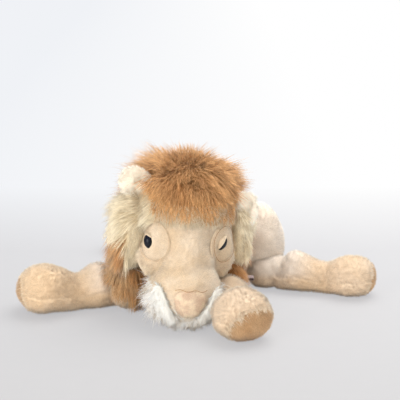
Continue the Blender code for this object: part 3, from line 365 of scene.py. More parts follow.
def pressed(points):
    """Hair above PRESS_LEVEL laid over: a height h over it turns into depth * (1 - exp(-h / depth))."""
    over = np.maximum(points[:, 2] - PRESS_LEVEL, 0)
    low = points.copy()
    low[:, 2] -= over - PRESS_DEPTH * (1 - np.exp(-over / PRESS_DEPTH))
    return low


def sliced(form, point, normal, keep_outside):
    """The closed form cut by a plane, one side kept and its cut filled flat."""
    shape = bmesh.new()
    mesh = bpy.data.meshes.new("slice")
    mesh.from_pydata(form[0].tolist(), [], form[1].tolist())
    shape.from_mesh(mesh)
    bpy.data.meshes.remove(mesh)
    bmesh.ops.bisect_plane(
        shape,
        geom=shape.verts[:] + shape.edges[:] + shape.faces[:],
        plane_co=Vector(point),
        plane_no=Vector(normal),
        clear_inner=keep_outside,
        clear_outer=not keep_outside,
    )
    bmesh.ops.contextual_create(shape, geom=[edge for edge in shape.edges if edge.is_boundary])
    bmesh.ops.triangulate(shape, faces=shape.faces[:])
    shape.verts.index_update()
    points = np.array([v.co[:] for v in shape.verts])
    tris = np.array([[v.index for v in f.verts] for f in shape.faces])
    shape.free()
    return points, outward(points, tris)


# Pieces


def mesh_piece(name, form, material, normals=None, **fields):
    """A mesh object at the origin from arrays, with optional own normals and point fields."""
    points, tris = form
    mesh = bpy.data.meshes.new(name)
    mesh.vertices.add(len(points))
    mesh.vertices.foreach_set("co", np.ascontiguousarray(points, np.float32).ravel())
    mesh.loops.add(tris.size)
    mesh.loops.foreach_set("vertex_index", np.ascontiguousarray(tris, np.int32).ravel())
    mesh.polygons.add(len(tris))
    mesh.polygons.foreach_set("loop_start", np.arange(0, tris.size, 3, dtype=np.int32))
    mesh.update(calc_edges=True)
    mesh.shade_smooth()
    for key, values in fields.items():
        layer = mesh.attributes.new(key, "FLOAT", "POINT")
        layer.data.foreach_set("value", np.ascontiguousarray(values, np.float32))
    mesh.materials.append(material)
    if normals is not None:
        mesh.normals_split_custom_set_from_vertices(normals.tolist())
    piece = bpy.data.objects.new(name, mesh)
    bpy.context.scene.collection.objects.link(piece)
    return piece


def worn_piece(name, form, finish, body="head", nodes=(), slot=None, **more):
    """A mesh piece that rides with its body and stands for its solids."""
    piece = mesh_piece(name, form, bpy.data.materials[finish], **more)
    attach(piece, body)
    slot or slot_of(finish)
    if nodes:
        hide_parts(*nodes)
    return piece


def paled(pale, points):
    """The field that turns points to the finish's paler colour, where pale(points) says how far; on the legs
    this is partly painted light.
    """
    return {} if pale is None else {"pale": pale(points)}


def cloth(name, form, finish, nodes, body="head", pale=None):
    """A stuffed cloth form that stands for its solids and rides with its body."""
    count = len(form[0])
    fields = {"along": np.full(count, 0.35), "tone": np.full(count, 0.5), **paled(pale, form[0])}
    worn_piece(name, form, finish, body, nodes, **fields)


def scattered(points, tris, spacing, rng):
    """Roots spread evenly by area over a surface, with their normals."""
    a, b, c = points[tris[:, 0]], points[tris[:, 1]], points[tris[:, 2]]
    area = np.linalg.norm(np.cross(b - a, c - a), axis=-1) / 2
    count = int(area.sum() / spacing**2)
    reach = np.cumsum(area) / area.sum()
    pick = np.searchsorted(reach, (np.arange(count) + rng.random(count)) / count)
    pick = np.minimum(pick, len(tris) - 1)
    u, v = rng.random(count), rng.random(count)
    over = u + v > 1
    u[over], v[over] = 1 - u[over], 1 - v[over]
    roots = a[pick] + u[:, None] * (b - a)[pick] + v[:, None] * (c - a)[pick]
    near, far, last = np.moveaxis(normals_of(points, tris)[tris[pick]], 1, 0)
    return roots, unit(near * (1 - u - v)[:, None] + far * u[:, None] + last * v[:, None])


def rooted(form, spacing, flow, keep, rng):
    """The roots over the floor that pass keep, with their normals and their flow along the cloth."""
    roots, normals = scattered(*form, spacing, rng)
    mask = roots[:, 2] > FLOOR_GAP
    if keep is not None:
        mask &= keep(roots, normals)
    roots, normals = roots[mask], normals[mask]
    along = flow(roots)
    return roots, normals, unit(along - (along * normals).sum(-1)[:, None] * normals)


def hair_piece(
    name, finish, roots, normals, lean, pull, length, width, rng, levels, soft, sink, pale=None, **more
):
    """Closed three-sided hairs: the middle line is root + length * (lean * s + pull * s * s).

    Each ring's radius falls with s to a point. Shading normals mix the cloth's normal with the hair's by
    soft, sink is the share of the length under the cloth, and pale(points) is how far points turn to the
    finish's paler colour, which on the legs is partly painted light.
    """
    count = len(roots)
    steps = np.linspace(0, 1, levels + 1)
    length = length[:, None, None]
    middle = roots[:, None] - normals[:, None] * length * sink
    middle = middle + length * (lean[:, None] * steps[:, None] + pull[:, None] * (steps**2)[:, None])
    side = unit(np.cross(lean, rng.normal(size=(count, 3))))
    other = unit(np.cross(lean, side))
    turn = turns(3)
    ring = side[:, None] * np.cos(turn)[:, None] + other[:, None] * np.sin(turn)[:, None]
    radius = (width[:, None] * (1 - steps[:-1]) ** 0.7)[..., None, None]
    tube_points = middle[:, :-1, None] + ring[:, None] * radius
    points = np.concatenate([tube_points.reshape(count, -1, 3), middle[:, -1:]], 1)
    size = points.shape[1]
    k, after = np.arange(3), (np.arange(3) + 1) % 3
    faces = [np.array([[0, 2, 1]])]
    for near in range(0, 3 * levels - 3, 3):
        faces.append(quads(near + k, near + after, near + 3 + after, near + 3 + k))
    faces.append(np.stack([size - 4 + k, size - 4 + after, np.full(3, size - 1)], -1))
    tris = (np.vstack(faces)[None] + (np.arange(count) * size)[:, None, None]).reshape(-1, 3)
    blend = np.repeat(ring[:, None], levels, 1).reshape(count, -1, 3)
    blend = np.concatenate([blend, unit(lean + pull)[:, None]], 1)
    shade = unit(normals[:, None] * soft + blend * (1 - soft)).reshape(-1, 3)
    along = np.tile(np.append(np.repeat(steps[:-1], 3), 1.0), count)
    tone = np.repeat(rng.random(count), size)
    points = pressed(over_floor(points.reshape(-1, 3)))
    fields = {"normals": shade, "along": along, "tone": tone, **paled(pale, points)}
    return worn_piece(name, (points, tris), finish, **fields, **more)


def nap(name, form, finish, spacing, length, flow, seed, keep=None, stand=0.8, width=0.00030, **more):
    """Short, even pile that leans along flow(points), a direction field, with a little disorder."""
    rng = np.random.default_rng(seed)
    roots, normals, along = rooted(form, spacing, flow, keep, rng)
    level, slope = waves(roots, 0.010, seed + 5)
    loose = rng.normal(size=roots.shape) * 0.14 + slope * 0.04
    lean = unit(normals * stand + along * (1 - stand) + loose)
    reach = length * rng.uniform(0.85, 1.12, len(roots)) * (1 + 0.05 * level)
    wide = width * rng.uniform(0.8, 1.3, len(roots))
    return hair_piece(name, finish, roots, normals, lean, 0 * lean, reach, wide, rng, 1, 0.85, 0.12, **more)


def fur(
    name, form, finish, spacing, length, flow, seed, keep=None, stand=0.45, clump=0.012, droop=0.25,
    width=0.00042, share=None, wild=1.0, **more
):
    """Long pile: hairs lean along flow, gather into locks on a smooth field's ridges, and droop at the tips.

    share(roots), where given, returns each root's share of the length and how far its hair stands.
    wild is how far the locks stray from the flow.
    """
    rng = np.random.default_rng(seed)
    roots, normals, along = rooted(form, spacing, flow, keep, rng)
    level, slope = waves(roots, clump, seed + 5)
    broad, wander = waves(roots, clump * 3.2, seed + 9)
    loose = (rng.normal(size=roots.shape) * 0.10 + wander * 0.28) * wild
    if share is not None:
        longer, stand = share(roots)
        length, stand = length * longer, stand[:, None]
    lean = unit(normals * stand + along * (1 - stand) + loose)
    pull = slope * 0.20 * wild + along * 0.25 + np.array([0, 0, -droop]) + rng.normal(size=roots.shape) * 0.07
    reach = length * rng.uniform(0.72, 1.18, len(roots)) * (1 + (0.14 * level + 0.10 * broad) * wild)
    wide = width * rng.uniform(0.7, 1.35, len(roots))
    return hair_piece(name, finish, roots, normals, lean, pull, reach, wide, rng, 3, 0.55, 0.05, **more)


# Finishes


def light_of(red, green, blue):
    """A screen colour of 0 to 255 as linear light."""
    share = np.array([red, green, blue]) / 255
    linear = np.where(share <= 0.04045, share / 12.92, ((share + 0.055) / 1.055) ** 2.4)
    return tuple(float(value) for value in linear)


class Graph:
    """A node tree built step by step; each input is given as a socket, a number or a colour."""

    def __init__(self, tree):
        self.tree, self.spot = tree, None
        tree.nodes.clear()

    def node(self, kind, inputs, **settings):
        made = self.tree.nodes.new("ShaderNode" + kind)
        for key, value in settings.items():
            setattr(made, key, value)
        for key, value in inputs.items():
            if isinstance(value, bpy.types.NodeSocket):
                self.tree.links.new(value, made.inputs[key])
            else:
                made.inputs[key].default_value = (*value, 1.0) if isinstance(value, tuple) else value
        return made.outputs

    def place(self):
        """Each point's place in its object, from one shared node."""
        if self.spot is None:
            self.spot = self.node("TexCoord", {})["Object"]
        return self.spot

    def field(self, name):
        return self.node("Attribute", {}, attribute_name=name)["Fac"]

    def mix(self, factor, first, second, kind="MIX"):
        return self.node("Mix", {0: factor, 6: first, 7: second}, data_type="RGBA", blend_type=kind)[2]

    def ranged(self, value, low, high, first=0.0, last=1.0):
        """The value moved from one range to another and clamped."""
        return self.node("MapRange", {0: value, 1: low, 2: high, 3: first, 4: last}, clamp=True)[0]

    def noise(self, scale, detail=3.0):
        inputs = {"Vector": self.place(), "Scale": scale, "Detail": detail, "Roughness": 0.55}
        return self.node("TexNoise", inputs)["Fac"]

    def times(self, colour, level):
        """The colour with each channel multiplied by a level."""
        return self.mix(1.0, colour, self.node("CombineColor", {0: level, 1: level, 2: level})[0], "MULTIPLY")

    def product(self, first, second):
        return self.node("Math", {0: first, 1: second}, operation="MULTIPLY")[0]

    def surface(self, shader, kind="OutputMaterial"):
        self.node(kind, {"Surface": shader})


def new_material(name, build, shown):
    """A material whose nodes build(graph) makes, returning its shader; shown is its viewport colour."""
    made = bpy.data.materials.new(name)
    made.use_nodes = True
    graph = Graph(made.node_tree)
    graph.surface(build(graph))
    made.diffuse_color = (*shown, 1.0)
    return made


def pile_material(name, root, tip, worn, patch, patch_amount=0.5, tone_amount=0.16, painted_glow=0.0):
    """Pile: root to tip colour along each hair, a tone for each hair, worn patches, and a fine nap.

    The emission strength is painted light: the pile's own colour glows at every point, which brightens pale
    pile where it lies in shade.
    """

    def build(graph):
        grown = graph.mix(graph.ranged(graph.field("along"), 0.0, 0.8), root, tip)
        broad = graph.ranged(graph.noise(patch), 0.42, 0.66, 0.0, patch_amount)
        # The pale field turns points to the worn colour; on the legs this paler top near the root is partly
        # painted light
        toned = graph.mix(graph.field("pale"), graph.mix(broad, grown, worn), worn)
        tone = graph.ranged(graph.field("tone"), 0.0, 1.0, 1.0 - tone_amount, 1.0 + tone_amount * 0.6)
        fine = graph.ranged(graph.noise(900.0, 2.0), 0.3, 0.7, 0.90, 1.06)
        toned = graph.times(graph.times(toned, tone), fine)
        bump = {"Strength": 0.35, "Distance": 0.0006, "Height": graph.noise(1400.0, 4.0)}
        inputs = {
            "Base Color": toned,
            "Emission Color": toned,
            # Painted light: a glow of the pile's own colour
            "Emission Strength": painted_glow,
            "Normal": graph.node("Bump", bump)[0],
            "Roughness": 0.92,
            "Specular IOR Level": 0.18,
            "Sheen Weight": 0.25,
            "Sheen Roughness": 0.5,
        }
        return graph.node("BsdfPrincipled", inputs)[0]

    return new_material(name, build, tip)


def plain_material(name, colour, roughness, mottle, scale, coat=0.0, bump=0.0, gloss=0.5):
    """A moulded or woven finish: a mottled colour and a fine grain."""

    def build(graph):
        level = graph.ranged(graph.noise(scale), 0.35, 0.65)
        inputs = {
            "Base Color": graph.mix(level, colour, mottle),
            "Roughness": graph.ranged(graph.noise(scale * 2.3), 0.3, 0.7, roughness * 0.8, roughness * 1.2),
            "Specular IOR Level": gloss,
            "Coat Weight": coat,
            "Coat Roughness": 0.04,
        }
        if bump:
            relief = {"Strength": 0.5, "Distance": bump, "Height": graph.noise(scale * 6)}
            inputs["Normal"] = graph.node("Bump", relief)[0]
        return graph.node("BsdfPrincipled", inputs)[0]

    return new_material(name, build, colour)


# Each pile finish: its slot, its root, tip and worn colours, its patches' scale, and its amounts; an emission
# amount among them is a painted glow
PILE_FINISHES = {
    "body_nap": ("body_plush", "body_root", "body_tip", "body_worn", 16.0, {"patch_amount": 0.55}),
    # On the legs the worn colour, turned to on top near the root, is partly painted light
    "leg_nap": ("body_plush", "leg_root", "leg_tip", "body_worn", 14.0, {"patch_amount": 0.25}),
    "face_nap": ("face_plush", "face_root", "face_tip", "face_worn", 22.0, {}),
    "patch_nap": ("face_plush", "face_root", "patch_tip", "face_worn", 30.0, {"patch_amount": 0.3}),
    "nose_nap": ("face_plush", "nose_root", "nose_tip", "face_tip", 90.0, {"patch_amount": 0.9}),
    "sole_nap": ("sole_plush", "sole_root", "sole_tip", "sole_root", 60.0, {"patch_amount": 0.4}),
    "tan_hair": (
        "tan_pile", "tan_root", "tan_tip", "tan_worn", 34.0, {"patch_amount": 0.55, "tone_amount": 0.3},
    ),
    # Its olive roots are painted shade on the band under the fringe
    "brow_shade_hair": ("tan_pile", "cream_root", "patch_tip", "face_tip", 70.0, {"patch_amount": 0.8}),
    # Its olive tip colour is painted shade where the cloth shows under the fringe
    "tan_base_and_shade": ("tan_pile", "tan_worn", "cream_root", "tan_worn", 60.0, {"patch_amount": 0.3}),
    "cream_hair": ("cream_pile", "cream_root", "cream_tip", "cream_worn", 30.0, {"painted_glow": 0.04}),
    "rust_hair": ("rust_pile", "rust_root", "rust_tip", "cream_worn", 30.0, {"tone_amount": 0.3}),
    "white_hair": (
        "white_pile", "white_root", "white_tip", "cream_root", 90.0, {"patch_amount": 0.6, "painted_glow": 0.06},
    ),
    "lip_nap": (
        "white_pile", "lip_root", "lip_tip", "white_root", 60.0,
        {"patch_amount": 0.3, "tone_amount": 0.06, "painted_glow": 0.04},
    ),
    "ear_nap": (
        "ear_plush", "ear_root", "ear_tip", "cream_tip", 30.0,
        {"patch_amount": 0.3, "tone_amount": 0.08, "painted_glow": 0.10},
    ),
}
# Each plain finish: its slot, its colour, roughness, mottle and grain scale, and its amounts
PLAIN_FINISHES = {
    # Thread darkened with painted shade in the seams
    "seam_thread_and_shade": ("face_plush", "seam", 0.9, "sole_root", 90.0, {}),
    "pale_thread": ("face_plush", "seam_pale", 0.9, "face_root", 90.0, {}),
    "eye_gloss": ("eye_plastic", "eye", 0.16, "eye_glint", 120.0, {"coat": 0.12, "gloss": 0.14}),
    "ribbon_weave": ("label_ribbon", "ribbon", 0.7, "ribbon_pale", 700.0, {"bump": 0.0002}),
}


def slot_of(finish):
    return {**PILE_FINISHES, **PLAIN_FINISHES}[finish][0]


def prepared(context):
    """Makes the finishes that aren't there yet from the colour settings, and returns the pile's settings."""
    colours = context.scene.lion_colours

    def tone(key):
        return tuple(getattr(colours, key))

    for name, (_, root, tip, worn, patch, amounts) in PILE_FINISHES.items():
        if name not in bpy.data.materials:
            pile_material(name, tone(root), tone(tip), tone(worn), patch, **amounts)
    for name, (_, colour, roughness, mottle, scale, amounts) in PLAIN_FINISHES.items():
        if name not in bpy.data.materials:
            plain_material(name, tone(colour), roughness, tone(mottle), scale, **amounts)
    return context.scene.lion_pile


# Settings, each with its description and its default

# Each fur: where it is, its root and tip colours, and its worn places where it has some
FURS = {
    # The body's worn colour also gives the legs their paler top near the roots, in part painted light
    "body": ("the torso's short pile", (226, 204, 180), (248, 237, 222), (246, 233, 218)),
    "leg": ("the legs' short pile", (218, 182, 142), (232, 210, 178)),
    "face": ("the face's short pile", (218, 186, 150), (243, 223, 191), (246, 234, 217)),
    "nose": ("the nose panel", (204, 170, 140), (230, 204, 178)),
    "sole": ("the soles", (184, 140, 96), (228, 190, 146)),
    "tan": ("the tan mane", (156, 100, 54), (240, 186, 126), (190, 132, 78)),
    "cream": ("the cream ruffs", (206, 178, 132), (252, 238, 208), (214, 192, 152)),
    "rust": ("the brown collar", (142, 84, 40), (214, 154, 96)),
    "white": ("the white chin", (236, 228, 214), (255, 253, 248)),
    "lip": ("the lips", (248, 243, 230), (255, 254, 248)),
    "ear": ("the ears", (248, 234, 214), (255, 248, 232)),
}
COLOURS = {
    "patch_tip": ("Tip colour of the panels round the eyes", (238, 220, 190)),
    "seam": ("Thread and shadow in the face seams", (150, 112, 80)),
    "seam_pale": ("Thread of the seam round the right eye", (206, 176, 142)),
    "eye": ("Moulded eyes", (4, 5, 10)),
    "eye_glint": ("Cooler places in the moulded eyes", (10, 14, 30)),
    "ribbon": ("Folded ribbon in the side seam", (138, 120, 120)),
    "ribbon_pale": ("Paler places in the ribbon", (168, 150, 148)),
    "floor": ("Pale floor under the toy", (158, 156, 155)),
    "backdrop": ("Pale backdrop behind the toy", (255, 255, 255)),
}
for fur_name, (where, *shades) in FURS.items():
    for part, shade in zip(("root", "tip", "worn"), shades):
        COLOURS["%s_%s" % (fur_name, part)] = ("%s colour of %s" % (part.capitalize(), where), shade)
PILE_LENGTHS = {
    "body": ("Length of the body's short pile", 0.0038),
    "face": ("Length of the face's short pile", 0.0036),
    "sole": ("Length of the pile on the soles", 0.0040),
    "crown": ("Length of the tan hair on the crown", 0.024),
    "ruff": ("Length of the cream hair beside the face", 0.018),
    "collar": ("Length of the brown hair on the chest", 0.018),
    "lip": ("Length of the white pile on the lips", 0.0058),
    "chin": ("Length of the white hair on the chin", 0.0095),
    "ear": ("Length of the pile on the ears", 0.0060),
    "tuft": ("Length of the hair on the tail's end", 0.015),
}
POWERS = {
    "key": ("Power of the light above", 23.5),
    "front": ("Power of the light beside the camera", 11.5),
}
STAGE_LENGTHS = {
    "eye_level": ("Height of the camera over the floor", 0.5091),
    "distance": ("Distance of the camera in front of the origin", 1.5859),
    "aside": ("Sideways place of the camera", 0.0038),
}


def setting(kind, key, about, default, **more):
    """A setting whose name is its key in words."""
    return kind(name=key.replace("_", " ").capitalize(), description=about, default=default, **more)


def lengths(table):
    """Length settings from a table of descriptions and defaults."""
    more = {"min": 0.0, "subtype": "DISTANCE", "unit": "LENGTH", "precision": 4}
    return {key: setting(bpy.props.FloatProperty, key, *values, **more) for key, values in table.items()}


class LionColours(bpy.types.PropertyGroup):
    """The colours of the finishes and of the stage"""

    __annotations__ = {
        key: setting(
            bpy.props.FloatVectorProperty, key, about, light_of(*shade), subtype="COLOR", size=3, min=0, max=1
        )
        for key, (about, shade) in COLOURS.items()
    }


class LionPile(bpy.types.PropertyGroup):
    """How long each kind of pile is"""

    __annotations__ = lengths(PILE_LENGTHS)


class LionStage(bpy.types.PropertyGroup):
    """The light and the camera"""

    __annotations__ = {
        **{key: setting(bpy.props.FloatProperty, key, *row, subtype="POWER") for key, row in POWERS.items()},
        "sky": setting(bpy.props.FloatProperty, "sky", "Level of the even light from all sides", 0.89),
        **lengths(STAGE_LENGTHS),
    }


# Stuffed body


def swung(points, name, end=0):
    """Points turned about a joint to one end of its range."""
    joint = JOINTS[name]
    turn = Matrix.Rotation(math.radians(joint["range_deg"][end]), 3, Vector(joint["axis"]))
    return (points - PIVOTS[name]) @ np.array(turn).T + PIVOTS[name]


def clear_of_back(roots, normals):
    """True where hair on the head stays off the torso when the head nods back and turns."""
    tips = roots + normals * 0.007 - np.array([0.0, 0.0, 0.009])
    clear = np.ones(len(roots), bool)
    for points in (roots, tips):
        nodded = swung(points, "head_nod")
        for place in (nodded, swung(points, "neck_turn"), swung(nodded, "neck_turn")):
            clear &= depth_inside(place, *TORSO) < -BACK_CLEAR
    return clear


def haunch_star(side):
    centre = np.array(HAUNCHES[side])
    return (centre, [(centre, HAUNCH_RADII)], None)


class LION_OT_body(bpy.types.Operator):
    """Builds the stuffed torso and its two thigh panels, each with short pile"""

    bl_idname = "lion.body"
    bl_label = "Body"

    def execute(self, context):
        pile = prepared(context)
        form = grounded(stuffed(star(BELLY_CENTRE, TORSO_LOBES, 84, 100, -CLOTH_INSET), 0.0011, 0.06, 11))
        cloth("torso", form, "body_nap", ("torso_skin", "torso_stuffing"), "torso")
        haunches = outside_of(-0.0004, haunch_star("left"), haunch_star("right"))
        keep, flow = every(outside_of(0.0015, HEAD), haunches), steady(0.3, 0.9, -0.35)
        nap("torso_nap", form, "body_nap", 0.0015, pile.body, flow, 12, keep, width=0.00044, body="torso")
        keep, flow = outside_of(0.0002, TORSO), steady(0.3, 0.7, -0.8)
        for side, seed in (("left", 21), ("right", 31)):
            centre, lobes, _ = haunch_star(side)
            form = grounded(stuffed(star(centre, lobes, 44, 52, -CLOTH_INSET), 0.0009, 0.04, seed))
            cloth("haunch_cloth_" + side, form, "body_nap", ("haunch_" + side,), "torso")
            name, more = "haunch_nap_" + side, {"width": 0.00042, "body": "torso"}
            nap(name, form, "body_nap", 0.0014, pile.body, flow, seed + 1, keep, **more)
        return {"FINISHED"}


# Legs


def eased(at, stations, values):
    """Values between stations, eased at both ends of each stretch."""
    index = np.clip(np.searchsorted(stations, at) - 1, 0, len(stations) - 2)
    part = smooth(clamped((at - stations[index]) / (stations[index + 1] - stations[index])))
    return values[index] + part * (values[index + 1] - values[index])


class Leg:
    """One leg's sizes: its pivot, the ways ahead and across, and half widths and heights at its stations."""

    def __init__(self, name):
        joint, self.heading, self.whole, self.root, (self.shares, wide, tall) = LEGS[name]
        self.name, self.pivot = name, PIVOTS[joint]
        heading = math.radians(self.heading)
        self.ahead = np.array([math.cos(heading), math.sin(heading)])
        self.aside = np.array([-self.ahead[1], self.ahead[0]])
        self.stations = np.array(self.shares) * self.whole
        self.wide, self.tall = np.array(wide), np.array(tall)

    def form(self, along, sides, grow):
        """Rings along the leg: a ball at the root, eased half widths to the foot, and a blunt round end."""
        stations, root, whole = self.stations, self.root, self.whole
        leave = math.sqrt(root**2 - self.wide[0] ** 2)
        ball = np.linspace(math.pi, math.acos(leave / root), along // 3)[1:]
        middle = np.linspace(leave, stations[-1], along)[1:]
        shut = np.sin(np.linspace(0, math.pi / 2, along // 2)[1:-1])
        at = np.concatenate([root * np.cos(ball), middle, stations[-1] + (whole - stations[-1]) * shut])
        width, height = eased(at, stations, self.wide), eased(at, stations, self.tall)
        width[: len(ball)] = height[: len(ball)] = root * np.sin(ball)
        blunt = (1 - shut**2.4) ** (1 / 2.4)
        width[-len(shut) :] *= blunt
        height[-len(shut) :] *= blunt
        level = eased(at, np.append(leave, stations), np.append(root, self.tall)) - 0.0005
        turn = turns(sides)
        groove, past_root = 0, at[:, None] > root * 1.3
        for seam, depth in zip(SEAM_TURNS, SEAM_DEPTHS):
            groove = groove + depth * np.exp(-(((np.cos(turn - seam) - 1) * 60) ** 2)) * past_root
        width_at = width[:, None] * np.ones(sides) + grow - groove
        height_at = height[:, None] * np.ones(sides) + grow - groove
        flat = at[:, None, None] * self.ahead + (width_at * np.cos(turn))[..., None] * self.aside
        rings = np.empty((len(at), sides, 3))
        rings[..., :2] = self.pivot[:2] + flat
        rings[..., 2] = level[:, None] + height_at * np.sin(turn)
        first = np.array([*(self.pivot[:2] - root * self.ahead), level[0]])
        last = np.array([*(self.pivot[:2] + whole * self.ahead), level[-1]])
        return closed(rings, first, last)

    def sole(self):
        """A point on the sole's plane and its outward normal."""
        ahead = np.array([*self.ahead, 0.0])
        foot = np.array([*self.pivot[:2], self.tall[-1]])
        if self.name == "front_leg_left":
            return foot + ahead * self.shares[-1] * self.whole + LEFT_PAW_SOLE * 0.0215, LEFT_PAW_SOLE
        turned, flat = math.radians(self.heading + SOLE_TURNS[self.name]), math.cos(SOLE_TILT)
        normal = np.array([math.cos(turned) * flat, math.sin(turned) * flat, math.sin(SOLE_TILT)])
        return foot + ahead * (self.whole - 0.0075), normal

    def turn(self, points):
        """How far along the leg each point is, and its angle round the leg from the side of the leg."""
        off = points[:, :2] - self.pivot[:2]
        at = off @ self.ahead
        tall_at = eased(np.clip(at, self.stations[0], self.stations[-1]), self.stations, self.tall)
        return at, np.arctan2(points[:, 2] - tall_at, off @ self.aside)

    def pale(self, points):
        """How far the pile turns to the paler colour: most on top near the root. On the right front leg this
        is painted light that brightens its shaded upper root.
        """
        at, turn = self.turn(points)
        over = clamped(0.5 + 2.2 * np.sin(turn))
        return smooth(clamped(1.0 - (at / self.whole - 0.22) / 0.30)) * over * PALE_AND_LIT_ROOTS[self.name]


class LION_OT_legs(bpy.types.Operator):
    """Builds the four stuffed legs with short pile, and the tan soles in their feet"""

    bl_idname = "lion.legs"
    bl_label = "Legs and soles"

    def execute(self, context):
        pile = prepared(context)
        for number, name in enumerate(LEGS):
            self.leg(pile, name, 100 + 10 * number)
        return {"FINISHED"}

    def leg(self, pile, name, seed):
        """A leg cut by its sole's plane, with a seam left bare on both sides and longer pile at the rim."""
        leg = Leg(name)
        whole = grounded(stuffed(leg.form(52, 48, -0.0010), 0.0008, 0.035, seed))
        spot, normal = leg.sole()
        upper = sliced(whole, spot, normal, False)
        clear = outside_of(0.002, *([TORSO, HEAD] if name == "front_leg_left" else [TORSO]))

        def above(roots):
            return (roots - spot) @ normal

        def keep(roots, normals):
            at, turn = leg.turn(roots)
            seam = np.max([np.cos(turn - line) for line in SEAM_TURNS], axis=0)
            seam = (seam > 0.9988 - 0.0004 * np.sin(at * 300)) & (at > 0.02)
            return clear(roots, normals) & (above(roots) < -0.0004) & ~seam

        def rim(roots, normals):
            off = above(roots)
            return (off < -0.0004) & (off > -0.0050) & (np.abs(normals @ normal) < 0.93)

        def slanting(roots):
            slope = clamped(0.5 - (roots[:, 0] - spot[0]) / 0.05) if name == "front_leg_left" else 0.05
            low = clamped((0.026 - roots[:, 2]) / 0.012)
            return 0.45 + 0.65 * slope * (1 - low) + np.zeros(len(roots)), np.full(len(roots), 0.30)

        def beyond(roots, normals):
            return above(roots) > 0.0009

        nodes, own = (name + "_skin", name + "_stuffing"), {"body": name}
        # The pile turns paler on top near the root; on the right front leg this is painted light
        cloth(name, upper, "leg_nap", nodes, name, leg.pale)
        nap(
            name + "_nap", upper, "leg_nap", 0.0014, pile.body, steady(*leg.ahead, -0.25), seed + 1, keep,
            width=0.00042, pale=leg.pale, **own,
        )
        fur(
            name + "_rim", upper, "leg_nap", 0.0010, pile.body * 2.2, steady(*normal), seed + 4, rim,
            clump=0.006, droop=0.1, share=slanting, wild=1.6, **own,
        )
        sole, down = sliced(whole, spot + normal * 0.0003, normal, True), steady(0.4, 0, -1)
        cloth(name + "_pad", sole, "sole_nap", (name + "_sole",), name)
        own = {"width": 0.00036, **own}
        nap(name + "_pad_nap", sole, "sole_nap", 0.0011, pile.sole, down, seed + 2, beyond, 0.6, **own)


# Head and face


def on_head(x, z):
    """Points of the face in front of (x, z) in the head's frame, with their outward normals."""
    x, z = np.broadcast_arrays(np.asarray(x, float), np.asarray(z, float))

    def surface(target):
        way = unit(target - HEAD_CENTRE)
        return HEAD_CENTRE + way * star_reach(HEAD_CENTRE, way, HEAD_LOBES)[..., None]

    found = np.stack([x, np.full_like(x, HEAD_CENTRE[1] - 0.058), z], -1)
    for _ in range(12):
        found = surface(np.stack([x, found[..., 1], z], -1))
    step = 0.002
    across = surface(found + [step, 0, 0]) - surface(found - [step, 0, 0])
    upward = surface(found + [0, 0, step]) - surface(found - [0, 0, step])
    return found, unit(np.cross(across, upward))


def spread_rim(rim, rings):
    """An outline's offsets drawn in toward its middle, in even steps."""
    return np.linspace(0, 1, rings + 1)[1:, None, None] * rim


def panel(x, z, rims, rise):
    """A closed panel that follows the face: rims holds outline offsets (rings, sides, 2) from the middle out.

    Its top stands rise(share) over the face and its foot lies under the face.
    """
    under = -0.0015
    shares = np.linspace(0, 1, rims.shape[0] + 1)[1:]
    found, normals = on_head(x + rims[..., 0], z + rims[..., 1])
    rings = np.concatenate([found + normals * rise(shares)[:, None, None], (found + normals * under)[::-1]])
    (middle,), (out,) = on_head(np.array([x]), np.array([z]))
    return carried(closed(rings, middle + out * rise(0.0), middle + out * under))


def tube(path, radius, closed_path=False):
    """A closed tube carried along a path of points in the head's frame, tapered to points at open ends."""
    ends = np.concatenate([path[-1:], path, path[:1]])
    ahead = unit(ends[2:] - ends[:-2] if closed_path else np.gradient(path, axis=0))
    side = unit(np.cross(ahead, [0.31, -0.82, 0.48]))
    sides, wide = 6, np.full(len(path), radius)
    rings = swept(path, wide, side[:, None], wide, np.cross(ahead, side)[:, None], sides)
    if not closed_path:
        return closed(rings, path[0] - ahead[0] * 1e-5, path[-1] + ahead[-1] * 1e-5)
    points = rings.reshape(-1, 3)
    return points, outward(points, grid_faces(len(path), sides, around=True))


# Nap that runs back from the nose over the face
head_flow = head_flowing(lambda x, y, z: (x, y + 0.150, z + 0.02))


def lip_spread(z):
    """How far from the middle the lips run at a height of the face."""
    return (0.031 + 0.039 * np.cos(clamped((-0.006 - z) / 0.042) * math.pi / 2)) / 2


def bearded(x, y, z):
    """Where the white pile grows: low on the face and outside the lips, or under them."""
    line = -0.0120 - 0.10 * np.maximum(y + 0.085, 0) + 1.2 * np.maximum(np.abs(x) - 0.035, 0)
    outside = np.abs(x) > lip_spread(z) + 0.003
    return (z < line) & (outside | (z < -0.037)) & (y < -0.045)


def beside_face(x, y, z):
    """Where the ruffs and the crown cover the head."""
    covered = (z > FRINGE_ROOTS - 0.004) | (y > -0.036) | (z < -0.047)
    off = (np.stack([np.abs(x), y, z], -1) - RUFF_CENTRE) / (RUFF_RADII - 0.006)
    return covered | ((off**2).sum(-1) < 1)


